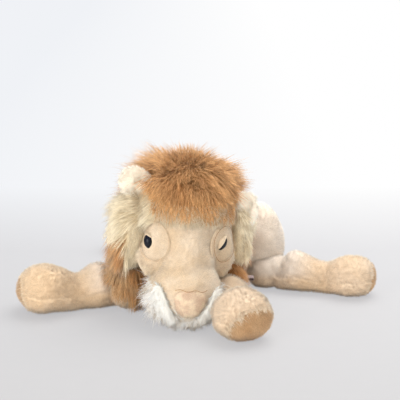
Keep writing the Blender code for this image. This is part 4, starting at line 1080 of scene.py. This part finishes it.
class LION_OT_head(bpy.types.Operator):
    """Builds the stuffed head with its short pile"""

    bl_idname = "lion.head"
    bl_label = "Head"

    def execute(self, context):
        pile = prepared(context)
        self.gusset()
        points, tris = star(HEAD_CENTRE, HEAD_LOBES, 104, 128, -CLOTH_INSET)
        for x, z in EYES.values():
            (spot,), _ = on_head(np.array([x]), np.array([z]))
            far = np.linalg.norm((points - spot) * (1.0, 1.0, 0.8), axis=-1)
            points = points - unit(points - HEAD_CENTRE) * (0.0030 * np.exp(-((far / 0.011) ** 2)))[:, None]
        form = stuffed(carried((points, tris)), 0.0007, 0.035, 41)
        cloth("head", form, "face_nap", ("head_skin", "head_stuffing"))

        def bare(x, y, z):
            hidden = beside_face(x, y, z) | bearded(x, y, z) | (np.sqrt(x**2 + y**2 + z**2) < NECK_CLEAR)
            for eye_x, eye_z in EYES.values():
                across, up = (x - eye_x) / EYE_GAP[0], (z - eye_z) / EYE_GAP[1]
                hidden |= (y < -0.06) & (across**2 + up**2 < 1)
            return hidden

        def cheek(x, y, z):
            low = (z < 0.010) & (z > -0.030) & (np.abs(x) > 0.038)
            return low | ((x < -0.051) & (z < 0.060) & (y > -0.098))

        keep = but(local(bare))
        down = head_flowing(lambda x, y, z: (x * 14, -0.1, np.where(z < 0.012, -1.0, -0.35)))
        cheek = every(keep, local(cheek))
        nap("head_nap", form, "face_nap", 0.00122, pile.face, head_flow, 42, keep, width=0.00038)
        look = {"stand": 0.45, "clump": 0.008, "droop": 0.1, "width": 0.00036}
        fur("cheek_nap", form, "face_nap", 0.0010, pile.face * 1.7, down, 44, cheek, **look)
        return {"FINISHED"}

    def gusset(self):
        """The cloth cap in the neck: a part of a sphere round the pivot, a little thicker than its solid."""
        tilt, turn = np.meshgrid(np.linspace(0, GUSSET_SPREAD, 15)[1:], turns(64), indexing="ij")
        ways = np.stack([np.sin(tilt) * np.cos(turn), -np.cos(tilt), np.sin(tilt) * np.sin(turn)], -1)
        low, high = GUSSET_RADII
        rings = np.concatenate([ways * high, ways[::-1] * low])
        form = carried(closed(rings, np.array([0.0, -high, 0.0]), np.array([0.0, -low, 0.0])))
        cloth("neck_gusset_cloth", form, "body_nap", ("neck_gusset",), "neck")


class LION_OT_eyes(bpy.types.Operator):
    """Builds the stitched panels round the eyes, the glossy eyes and their lids"""

    bl_idname = "lion.eyes"
    bl_label = "Eyes and eye panels"

    def execute(self, context):
        pile = prepared(context)
        for side, label in SIDES:
            self.patch(pile, side, label)
            self.eye(side, label)
            self.lid(pile, side, label)
        return {"FINISHED"}

    def patch(self, pile, side, label):
        """The oval panel round an eye, whose top falls by the cube of the share, and its seam's thread, dark
        with painted shade round the left eye and pale round the right.
        """
        turn, size = turns(64), np.array(PATCH_SIZE) / 2
        rim = np.stack([np.cos(turn), np.sin(turn)], -1) * size
        middle, eye = np.array([side * PATCH[0], PATCH[1]]), np.array(EYES[label])
        form = panel(*middle, spread_rim(rim, 14), lambda share: 0.0017 * (1 - share**3) - 0.0004 * share**8)
        name = "eye_patch_" + label
        cloth(name + "_cloth", form, "patch_nap", (name,))

        def keep(roots, normals):
            spots = in_head(roots)[:, [0, 2]]
            inside = (((spots - middle) / size) ** 2).sum(-1) < 0.99
            hole = (((spots - eye) / PATCH_HOLE) ** 2).sum(-1)
            return inside & (hole > 1) & (to_front(normals) < 0.35)

        reach, more = pile.face * 0.8, {"width": 0.00036}
        nap(name + "_nap", form, "patch_nap", 0.0011, reach, head_flow, 52 + side, keep, **more)
        # The left eye's seam line is dark with painted shade; the right's is a pale thread
        reach, thread = (0.92, "seam_thread_and_shade") if side > 0 else (1.01, "pale_thread")
        found, out = on_head(*(middle + rim * reach).T)
        worn_piece(name + "_seam", tube(placed(found + out * 0.0030, HEAD_FRAME), 0.00030, True), thread)

    def frame_of(self, side, label):
        """The eye's middle on the face and its directions up, across and out."""
        tilt = EYE_TILTS[label]
        (spot,), (out,) = on_head(*([value] for value in EYES[label]))
        across = unit(np.cross([side * math.sin(tilt), 0.0, math.cos(tilt)], out))
        return spot + out * 0.0012, np.cross(out, across), across, out

    def eye(self, side, label):
        """A pointed oval dome: height is dome times the root of one less the share squared."""
        spot, up, across, out = self.frame_of(side, label)
        dome, depth = 0.0046, 0.0022
        turn = turns(48)
        narrow = (0.0056 * np.cos(turn) * (1 - 0.30 * np.abs(np.sin(turn)) ** 3))[:, None] * across
        rim = narrow + (0.0086 * np.sin(turn))[:, None] * up
        shares = np.sin(np.linspace(0, math.pi / 2, 17))[1:, None, None]
        rings = spot + shares * rim + dome * np.sqrt(np.maximum(1 - shares**2, 0)) * out
        rings = np.concatenate([rings, (spot + rim * 0.96 - out * depth)[None]])
        form = carried(closed(rings, spot + out * dome, spot - out * depth))
        worn_piece("eye_" + label + "_dome", form, "eye_gloss", nodes=("eye_" + label,))

    def lid(self, pile, side, label):
        """A fold of the panel over the eye: an ellipsoid round the dome, cut by a sloping plane."""
        tilt, cover = LIDS[label]
        spot, up, across, out = self.frame_of(side, label)
        axes = np.stack([across * 0.0067, out * 0.0056, up * 0.0100])
        form = closed(*(spot + way @ axes for way in sphere_ways(32, 40)))
        brow = np.array([-side * math.sin(tilt), 0.0, math.cos(tilt)])
        brow = unit(brow - (brow @ out) * out)
        form = carried(sliced(form, spot + brow * cover, unit(brow - out * 0.25), True))
        name = "eye_lid_" + label
        cloth(name, form, "patch_nap", ())

        def keep(roots, normals):
            ahead = normals @ HEAD_AXES
            return ((ahead @ out) > 0.05) & ((ahead @ brow) > -0.2)

        reach, more = pile.face * 0.45, {"width": 0.00028}
        nap(name + "_nap", form, "patch_nap", 0.0008, reach, head_flow, 57 + side, keep, **more)


class LION_OT_muzzle(bpy.types.Operator):
    """Builds the nose panel with its seam, the two smooth lips and the long white pile of the chin"""

    bl_idname = "lion.muzzle"
    bl_label = "Nose, lips and chin"

    def execute(self, context):
        pile = prepared(context)
        self.nose(pile)
        for side, label in SIDES:
            self.lip(pile, side, "lip_" + label)
        self.beard(pile)
        return {"FINISHED"}

    def nose(self, pile):
        """A panel with round corners, wide at the top and narrow at the foot, and the seam on its top: a dark
        line of thread and painted shade.
        """
        turn = turns(56)
        across, up = (np.sign(way) * np.abs(way) ** 0.7 for way in (np.cos(turn), np.sin(turn)))
        rim = np.stack([across * (0.0172 + 0.0046 * up), up * 0.0165], -1)
        form = panel(0.0, -0.0232, spread_rim(rim, 12), lambda share: 0.0026 * (1 - share**3) - 0.0003)
        cloth("nose_panel", form, "nose_nap", ("nose",))

        def front(roots, normals):
            return to_front(normals) < 0.3

        nap("nose_nap", form, "nose_nap", 0.0011, pile.face * 0.5, head_flow, 61, front, width=0.00036)
        line = np.linspace(-0.0165, 0.0165, 30)
        found, out = on_head(line, -0.0068 + 0.0009 * np.sin(line * 420))
        # The nose seam's dark line is thread and painted shade
        worn_piece("nose_seam", tube(placed(found + out * 0.0044, HEAD_FRAME), 0.00036), "seam_thread_and_shade")

    def lip(self, pile, side, name):
        """Oval rings round a line that runs from beside the nose down and in to the chin."""
        part = np.linspace(0, 1, 56)
        drop = -0.0105 - 0.0375 * part
        found, out = on_head(side * lip_spread(drop) - 0.0014 * (side + 1), drop)
        path = found + out * 0.0006
        ahead = unit(np.gradient(path, axis=0))
        aside = unit(np.cross(ahead, out))
        round_end = np.sqrt(1 - 0.72 * (2 * part - 1) ** 4)
        wide, tall = 0.0090 * round_end * (1 - 0.22 * part), 0.0036 * round_end
        rings = swept(path, wide, aside[:, None], tall, out[:, None], 24)
        form = grounded(carried(closed(rings, path[0] - ahead[0] * 0.0040, path[-1] + ahead[-1] * 0.0030)))
        cloth(name + "_band", form, "lip_nap", (name,))
        down = steady(side * 0.35, -0.5, -1)
        look = {"stand": 0.62, "clump": 0.005, "droop": 0.1, "width": 0.00040, "wild": 1.2}
        fur(name + "_nap", form, "lip_nap", 0.0009, pile.lip, down, 63 + side, **look)

    def beard(self, pile):
        """The chin's cushion, and white hair that grows from it and from the lower cheeks."""
        lobes = [(CHIN_CENTRE, CHIN_RADII - 0.0045), HEAD_LOBES[1]]
        form = grounded(stuffed(carried(star(CHIN_CENTRE, lobes, 64, 72, -0.0005)), 0.0010, 0.02, 66))
        cushion = carried(star(CHIN_CENTRE, [(CHIN_CENTRE, CHIN_RADII)], 56, 64, -0.0045))
        cloth("chin_cloth", grounded(stuffed(cushion, 0.0008, 0.02, 66)), "white_hair", ("chin",))

        def share(roots):
            x, _, z = in_head(roots).T
            beside = clamped((np.abs(x) - 0.026) / 0.014) * clamped((z + 0.042) / 0.02)
            under = clamped((-0.040 - z) / 0.006)
            return 1.0 + 0.25 * beside - 0.25 * under, 0.5 + 0.1 * beside + 0.3 * under

        spread = head_flowing(lambda x, y, z: (x * 26, -0.30 - 0.8 * clamped((-0.030 - z) / 0.012), -0.75))
        jowl = local(lambda x, y, z: (x < -0.036) & (z > -0.018) & (y > -0.110) & ~bearded(x, y, z))
        jowl = every(jowl, outside_of(0.001, (HEAD_CENTRE, HEAD_LOBES[:1], HEAD_FRAME)))
        look = {"stand": 0.5, "droop": 0.12}
        more = {"clump": 0.0055, "width": 0.00042, "share": share, "wild": 2.6, **look}
        fur("chin_hair", form, "white_hair", 0.0011, pile.chin, spread, 67, local(bearded), **more)
        more = {"clump": 0.007, "width": 0.00036, "wild": 0.7, **look}
        fur("jowl_nap", form, "face_nap", 0.0010, 0.0062, spread, 69, jowl, **more)


# Mane


# Hair that runs out from a whorl at the top of the crown, forward over the brow and down the sides
from_whorl = head_flowing(lambda x, y, z: ((x - WHORL[0]) * 1.1, y - WHORL[1], z - WHORL[2]))


def crown_share(roots):
    """Hair length and stand over the crown: short and combed at the fringe, long and upright on top."""
    spots = in_head(roots)
    x, y, z = spots.T
    combed = (1 - clamped((z - FRINGE_ROOTS) / 0.040)) * clamped((-y - 0.030) / 0.030)
    near = np.zeros(len(roots))
    for (ear_x, ear_y, ear_z), _ in EARS.values():
        far = np.linalg.norm((spots - (ear_x, ear_y - 0.014, ear_z - 0.002)) / (0.019, 0.024, 0.014), axis=-1)
        near = np.maximum(near, np.exp(-(far**2)))
    whorl = np.exp(-((np.linalg.norm(spots - WHORL_SPOT, axis=-1) / 0.014) ** 2))
    swept_side = clamped((-x - 0.012) / 0.03) * clamped((z - 0.088) / 0.02)
    return (1.0 - 0.42 * combed) * (1 - 0.62 * near) + 0.45 * swept_side, 0.56 - 0.28 * combed + 0.4 * whorl


def temple_side(x, z, edge):
    """Where the cream lock grows: beyond a line that leans in toward the crown."""
    return (x < edge - 0.22 * (z - 0.07)) & (z < 0.118)


class LION_OT_mane(bpy.types.Operator):
    """Builds the long tan crown and nape, the cream ruffs beside the face, and the brown chest collar"""

    bl_idname = "lion.mane"
    bl_label = "Mane"

    def execute(self, context):
        pile = prepared(context)
        brow, cheek = HEAD_LOBES[0]
        lobes = [(CROWN_CENTRE, CROWN_RADII - 0.010), (brow, cheek + 0.0004)]
        whole = star(np.array([0.0, -0.032, 0.074]), lobes, 84, 96)
        whole = sliced(whole, (0, 0, FRINGE_RISE + 0.006), (0, 0, 1), True)
        self.crown(pile, whole, "mane_crown", False, 71)
        self.crown(pile, whole, "mane_nape", True, 76)
        self.temple(pile, carried(whole))
        for side, label in SIDES:
            self.ruff(pile, side, label)
            self.collar(pile, side, label)
        return {"FINISHED"}

    def crown(self, pile, whole, name, keep_back, seed):
        """The part of the crown before or behind a plane across the head, with hair out from the whorl."""
        form = stuffed(carried(sliced(whole, (0, 0.002, 0), (0, 1, 0), keep_back)), 0.0008, 0.02, 70)
        # The base cloth's tan is mixed with olive as painted shade where it shows under the fringe
        cloth(name + "_cloth", form, "tan_base_and_shade", (name,))

        def keep(roots, normals):
            x, y, z = in_head(roots).T
            line = FRINGE_ROOTS - 5.5 * x**2
            line = line + 0.0025 * np.sin(x * 260) + 0.0015 * np.sin(x * 611)
            line = np.where(y > -0.045, FRINGE_RISE + 0.008, line)
            joined = (np.abs(to_front(normals)) > 0.98) & (np.abs(y - 0.002) < 0.001)
            bare = joined | (temple_side(x, z, -0.041) & (y < -0.04))
            return (z > line) & ((y > 0.0021) == keep_back) & ~bare & clear_of_back(roots, normals)

        look = {"clump": 0.011, "droop": 0.12, "width": 0.00036, "share": crown_share, "wild": 1.3}
        for part in (0, 1):
            piece = "%s_hair_%d" % (name, part)
            fur(piece, form, "tan_hair", 0.0016, pile.crown, from_whorl, seed + part, keep, **look)

    def temple(self, pile, form):
        """The brow's short pile under the fringe, whose olive roots are painted shade, and the cream lock
        that sweeps out from its right end.
        """


        def upper(roots, normals):
            return normals[:, 2] > -0.9

        brow = every(upper, local(lambda x, y, z: (z < FRINGE_ROOTS + 0.004) & (y < -0.045)))
        lock = every(upper, local(lambda x, y, z: temple_side(x, z, -0.038) & (y < -0.030)))
        tuft = local(lambda x, y, z: (x < -0.056) & (np.abs(z - 0.074) < 0.012) & (np.abs(y + 0.030) < 0.02))
        reach, down = pile.face * 2.3, steady(0, -0.25, -1)
        # Painted shade: the olive roots of this pile darken the band under the fringe
        nap("brow_shade_nap", form, "brow_shade_hair", 0.0009, reach, down, 301, brow, stand=0.36, width=0.00034)
        look = {"stand": 0.45, "clump": 0.008, "droop": 0.2, "slot": "tan_pile"}
        fur("temple_tuft", form, "rust_hair", 0.0012, 0.013, steady(-0.6, -0.2, -1), 305, tuft, **look)
        look = {"stand": 0.30, "clump": 0.009, "droop": 0.25, "wild": 0.7}
        fur("temple_hair", form, "cream_hair", 0.0012, pile.ruff, steady(-1, -0.1, -0.45), 303, lock, **look)

    def ruff(self, pile, side, label):
        """A side cushion of the mane whose hair sweeps out at the top and falls below."""
        middle = RUFF_CENTRE * (side, 1, 1)
        (inset, length_share), name = RUFFS[label], "ruff_" + label
        form = stuffed(carried(star(middle, [(middle, RUFF_RADII)], 56, 64, -inset)), 0.0010, 0.02, 80 + side)
        cloth(name + "_cloth", form, "cream_hair", (name,))

        def sweep(x, y, z):
            high = clamped((z - 0.015) / 0.06)
            out, lift = (1.4 * high - 0.12, 0.55) if side < 0 else (0.35 * high - 0.05, 0.1)
            return side * out, 0.15 - 0.35 * high, -1.0 + lift * high

        def outer(x, y, z):
            return np.abs(x) > np.where(z > 0.066, 0.038, np.where(z < 0.056, 0.0690, 0.0585))

        def behind(x, y, z):
            return ((y > -0.052 + 0.5 * (z - 0.03)) & (z < 0.050)) | ((x < -0.071) & (z < 0.040))

        sweep, behind = head_flowing(sweep), local(behind)
        keep = every(outside_of(0.003, HEAD), local(outer), clear_of_back)
        bare = every(outside_of(0.001, HEAD), but(keep), clear_of_back)
        reach, front, back = pile.ruff * length_share, every(keep, but(behind)), every(keep, behind)
        look, more = {"clump": 0.010, "droop": 0.15}, {"stand": 0.34, "wild": 0.7}
        fur(name + "_hair", form, "cream_hair", 0.00125, reach, sweep, 82 + side, front, **look, **more)
        down, fall = steady(side * 0.3, -0.5, -1.0), steady(side * 0.45, 0.0, -1.0)
        nap(name + "_nap", form, "cream_hair", 0.0010, 0.0065, down, 88 + side, bare, 0.6)
        name, look = name + "_back_hair", {"slot": "tan_pile", **look}
        fur(name, form, "rust_hair", 0.00135, reach * 1.1, fall, 86 + side, back, 0.42, **look)

    def collar(self, pile, side, label):
        """A cushion on the chest whose hair falls; its pieces get meshes of their own."""
        centre, radii = (np.array(values) for values in COLLARS[label])
        form = grounded(stuffed(star(centre, [(centre, radii)], 40, 48, -0.004), 0.0008, 0.02, 90 + side))
        name = "mane_collar_" + label
        cloth(name + "_cloth", form, "rust_hair", (name,), "torso")
        fall = steady(0.30 if side > 0 else -0.12, -0.15, -1.0)

        def high(roots, normals):
            return (side > 0) | (roots[:, 2] > 0.034 - 1.12 * (roots[:, 0] + 0.089))

        keep = every(outside_of(0.003, TORSO), high)
        own, ends = {"body": "torso"}, ["_cloth", "_hair"]
        fur(name + "_hair", form, "rust_hair", 0.0012, pile.collar, fall, 92 + side, keep, 0.42, **own)
        if side < 0:
            ends.append("_nap")
            reach, low = pile.body * 1.3, but(keep)
            nap(name + "_nap", form, "leg_nap", 0.0011, reach, fall, 94, low, width=0.00042, **own)
        for end in ends:
            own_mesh(bpy.data.objects[name + end])


# Ears


def ear_place(label):
    """The ear's frame in the world: X across, Y toward the tip, Z out of the cup."""
    root, tip = EARS[label]
    along = Vector(tip).normalized()
    across = along.cross(Vector((0, -1, 0))).normalized()
    turn = Matrix((across, along, across.cross(along).normalized())).transposed().to_4x4()
    return HEAD_FRAME @ np.array(Matrix.Translation(root) @ turn)


def bent(points, start, radius):
    """The flap rolled round a bar across it, from start to its tip, so that it droops forward."""
    x, y, z = points.T
    turn = np.maximum(y - start, 0) / radius
    rolled_y = np.where(turn > 0, start + (radius - z) * np.sin(turn), y)
    return np.stack([x, rolled_y, np.where(turn > 0, radius - (radius - z) * np.cos(turn), z)], -1)


class LION_OT_ears(bpy.types.Operator):
    """Builds the two round cupped ears with short pile"""

    bl_idname = "lion.ears"
    bl_label = "Ears"

    def execute(self, context):
        pile = prepared(context)
        for side, label in SIDES:
            self.ear(pile, side, label)
        return {"FINISHED"}

    def ear(self, pile, side, label):
        """An oval flap, cupped by the square of the share, and as thick as the root of one less that."""
        body, place, turn = "ear_" + label, ear_place(label), turns(48)
        size, depth, start, radius = EAR_FORMS[label]
        shares = np.sin(np.linspace(0, math.pi / 2, 15))[1:]
        rim = size * np.stack([0.0180 * np.cos(turn), 0.0230 * np.sin(turn)], -1)
        middle = np.array([0.0, 0.019 * size])
        flat = shares[:, None, None] * rim + middle
        cup, thick = 0.0040 * shares**2 + 0.0030, depth * np.sqrt(np.maximum(1 - shares**2, 0))
        front, back = (
            np.concatenate([flat, np.broadcast_to(level[:, None, None], (14, 48, 1))], -1)
            for level in (cup + thick, cup - thick)
        )
        rings = np.concatenate([front, back[:-1][::-1]])
        points, tris = closed(rings, np.array([*middle, 0.0072]), np.array([*middle, -0.0012]))
        points = bent(points, start, radius)
        if side > 0:
            points[:, 0] += EAR_DROOP * np.maximum(points[:, 1], 0) ** 2
        form = stuffed(carried((points, tris), place), 0.0008, 0.02, 95 + side)
        cloth(body, form, "ear_nap", (body + "_back", body + "_front"), body)

        def flow(roots):
            x, y, z = unplaced(roots, place).T
            return np.stack([x, y - 0.010, 0 * z], -1) @ place[:3, :3].T

        look = {"stand": 0.5, "clump": 0.006, "droop": 0.1, "width": 0.00034, "body": body}
        clear = outside_of(-0.004, HEAD)
        fur(body + "_nap", form, "ear_nap", 0.0009, pile.ear * 0.75, flow, 97 + side, clear, **look)


# Tail and label


class LION_OT_tail(bpy.types.Operator):
    """Builds the stuffed tail with short pile and the tuft of long tan hair on its end"""

    bl_idname = "lion.tail"
    bl_label = "Tail"

    def execute(self, context):
        pile = prepared(context)
        reach = np.concatenate([np.linspace(-0.0110, 0.008, 12), np.linspace(0.011, 0.0618, 30)])
        radius = np.maximum(np.sqrt(np.maximum(0.0112**2 - reach**2, 0)), np.where(reach > 0, 0.0081, 0.0004))
        form, ahead = self.form(reach, radius)
        cloth("tail", form, "leg_nap", ("tail_skin", "tail_stuffing"), "tail")
        flow, clear = steady(*ahead[:2], -0.2), outside_of(0.001, TORSO)
        nap("tail_nap", form, "leg_nap", 0.0014, pile.body, flow, 201, clear, width=0.0005, body="tail")
        part = np.linspace(0.02, 0.98, 26)
        form, _ = self.form(0.0622 + 0.026 * part, 0.0070 * np.sqrt(np.sin(math.pi * part**0.7)))
        cloth("tail_tuft_cloth", form, "tan_hair", ("tail_tuft",), "tail")
        look = {"stand": 0.35, "clump": 0.008, "droop": 0.15, "body": "tail"}
        fur("tail_tuft_hair", form, "tan_hair", 0.0011, pile.tuft, flow, 203, **look)
        return {"FINISHED"}

    def form(self, reach, radius):
        """Round rings on a line that runs away from the tail's pivot and eases down."""
        root = PIVOTS["tail_swing"]
        ahead = np.array([math.cos(TAIL_HEADING), math.sin(TAIL_HEADING), 0.0])
        aside = np.array([-ahead[1], ahead[0], 0.0])
        drop = 0.016 * smooth(clamped(reach / 0.062))
        path = np.column_stack([root[:2] + reach[:, None] * ahead[:2], root[2] - drop])
        rings = swept(path, radius, aside, radius, np.array([0.0, 0.0, 1.0]), 28)
        return grounded(closed(rings, path[0] - ahead * 1e-4, path[-1] + ahead * 1e-4)), ahead


class LION_OT_label(bpy.types.Operator):
    """Builds the bare folded ribbon in the side seam"""

    bl_idname = "lion.label"
    bl_label = "Ribbon"

    def execute(self, context):
        """A grid that runs out and back along X with a rounded fold, thickened by Solidify."""
        prepared(context)
        low, high = (np.array(corner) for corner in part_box("label"))
        rows, columns = 40, 12
        run = np.linspace(0, 1, rows)
        bend = clamped((run - 0.44) / 0.12) * math.pi
        back = np.where(run > 0.56, (1 - run) / 0.44, 1 + 0.06 * np.sin(bend))
        reach = np.where(run < 0.44, run / 0.44, back)
        rise = 0.5 - 0.5 * np.cos(bend)
        rise = rise + 0.10 * np.sin(reach * 3.0) * (1 - reach)
        x = low[0] + 0.0002 + reach * (high[0] - low[0] - 0.0012)
        z = low[2] + 0.0003 + rise * (high[2] - low[2] - 0.0009)
        across = np.linspace(low[1] + 0.0003, high[1] - 0.0003, columns)
        grid = np.stack(np.broadcast_arrays(x[:, None], across, z[:, None]), -1).reshape(-1, 3)
        form = (grid, grid_faces(rows, columns))
        piece = worn_piece("label_ribbon", form, "ribbon_weave", "torso", ("label",))
        piece.modifiers.new("thickness", "SOLIDIFY").thickness = 0.0004
        for name in ("washer_left", "washer_right"):
            materials = frame["nodes"][name].data.materials
            materials.clear()
            materials.append(bpy.data.materials["ribbon_weave"])
        return {"FINISHED"}


# Stage

CAMERA_SENSOR = 36.0
CAMERA_LENS = 117.36
CAMERA_TILT = math.radians(76)
LAMP_AIM = Vector((0.0, 0.0, 0.05))


class LION_OT_stage(bpy.types.Operator):
    """Builds the pale floor and backdrop, the soft lights and the camera"""

    bl_idname = "lion.stage"
    bl_label = "Stage"

    def execute(self, context):
        scene, stage = context.scene, context.scene.lion_stage
        colours = scene.lion_colours
        self.floor(tuple(colours.floor), tuple(colours.backdrop))
        self.world(scene, stage.sky, tuple(colours.backdrop))
        self.lamp("light_above", (0.35, 0.25, 1.25), 1.3, stage.key)
        self.lamp("light_front", (-0.85, -1.25, 0.58), 0.9, stage.front)
        camera = bpy.data.cameras.new("camera")
        camera.sensor_width, camera.lens = CAMERA_SENSOR, CAMERA_LENS
        eye = bpy.data.objects.new("camera", camera)
        eye.location = (stage.aside, -stage.distance, stage.eye_level)
        eye.rotation_euler = (CAMERA_TILT, 0.0, 0.0)
        scene.collection.objects.link(eye)
        scene.camera = eye
        scene.view_settings.view_transform = "Standard"
        return {"FINISHED"}

    def world(self, scene, sky, seen):
        """Even light from all sides, and the backdrop's colour where the camera sees it."""
        world = bpy.data.worlds.new("studio")
        world.use_nodes = True
        graph = Graph(world.node_tree)
        lit = graph.node("Background", {"Color": (0.97, 0.98, 1.0), "Strength": sky})[0]
        shown = graph.node("Background", {"Color": seen})[0]
        camera_ray = graph.node("LightPath", {})["Is Camera Ray"]
        graph.surface(graph.node("MixShader", {0: camera_ray, 1: lit, 2: shown})[0], "OutputWorld")
        scene.world = world

    def lamp(self, name, place, size, power):
        """A round soft lamp that looks at a point in the toy."""
        light = bpy.data.lights.new(name, "AREA")
        light.shape = "DISK"
        light.size = size
        light.energy = power
        lamp = bpy.data.objects.new(name, light)
        lamp.location = place
        lamp.rotation_euler = (LAMP_AIM - Vector(place)).to_track_quat("-Z", "Y").to_euler()
        bpy.context.scene.collection.objects.link(lamp)

    def floor(self, colour, far_colour):
        """A wide floor that keeps soft shadows near the toy and grows white far behind it. To the camera most
        of it near the toy is a glow of painted light, brighter to the right and further back, which also
        lightens the toy's shadow.
        """

        def build(graph):
            x, y, _ = graph.node("SeparateXYZ", {0: graph.place()})
            camera_ray = graph.node("LightPath", {})["Is Camera Ray"]
            grain = graph.ranged(graph.noise(60.0), 0.3, 0.7, 0.97, 1.0)
            base = graph.mix(camera_ray, light_of(238, 236, 234), graph.times(colour, grain))
            inputs = {"Base Color": base, "Roughness": 0.6, "Specular IOR Level": 0.2}
            lit = graph.node("BsdfPrincipled", inputs)[0]
            side, near = graph.ranged(x, -0.45, 0.25), graph.ranged(y, -0.45, 0.15)
            # Painted light: the glowing part of the floor is brighter to the right and further back
            before = graph.mix(side, light_of(219, 218, 219), light_of(230, 229, 230))
            behind = graph.mix(side, light_of(230, 231, 235), light_of(243, 243, 246))
            even = graph.node("Emission", {"Color": graph.mix(near, before, behind)})[0]
            glow = graph.node("Emission", {"Color": graph.mix(side, light_of(240, 242, 246), far_colour)})[0]
            # Painted light: 58% of what the camera sees near the toy is this glow, which lightens the toy's
            # shadow
            soft = graph.node("MixShader", {0: graph.product(camera_ray, 0.58), 1: lit, 2: even})[0]
            away = graph.product(camera_ray, graph.ranged(y, 0.16, 0.55))
            return graph.node("MixShader", {0: away, 1: soft, 2: glow})[0]

        rows = np.array([-4.0, 0.0, 8.0])
        points = np.array([[x, y, -0.0003] for y in rows for x in (-4.0, 4.0)])
        i = np.arange(len(rows) - 1) * 2
        form = (points, quads(i, i + 1, i + 3, i + 2))
        mesh_piece("floor", form, new_material("pale_floor", build, colour))


# Panel and run


class LION_PT_panel(bpy.types.Panel):
    """Lists the lion's makers and settings in the sidebar"""

    bl_label = "Plush Lion"
    bl_idname = "LION_PT_panel"
    bl_space_type = "VIEW_3D"
    bl_region_type = "UI"
    bl_category = "Plush Lion"

    def draw(self, context):
        for maker in MAKERS:
            self.layout.operator(maker.bl_idname)
        for key in SETTINGS:
            group, box = getattr(context.scene, key), self.layout.box()
            for setting in type(group).__annotations__:
                box.prop(group, setting)


MAKERS = (
    LION_OT_body,
    LION_OT_legs,
    LION_OT_head,
    LION_OT_eyes,
    LION_OT_muzzle,
    LION_OT_mane,
    LION_OT_ears,
    LION_OT_tail,
    LION_OT_label,
    LION_OT_stage,
)
SETTINGS = {"lion_pile": LionPile, "lion_colours": LionColours, "lion_stage": LionStage}
CLASSES = (*SETTINGS.values(), *MAKERS, LION_PT_panel)


def register():
    for kind in CLASSES:
        bpy.utils.register_class(kind)
    for key, kind in SETTINGS.items():
        setattr(bpy.types.Scene, key, bpy.props.PointerProperty(type=kind))


def unregister():
    for key in SETTINGS:
        delattr(bpy.types.Scene, key)
    for kind in reversed(CLASSES):
        bpy.utils.unregister_class(kind)


def main():
    register()
    for maker in MAKERS:
        group, name = maker.bl_idname.split(".")
        getattr(getattr(bpy.ops, group), name)()


if __name__ == "__main__":
    main()
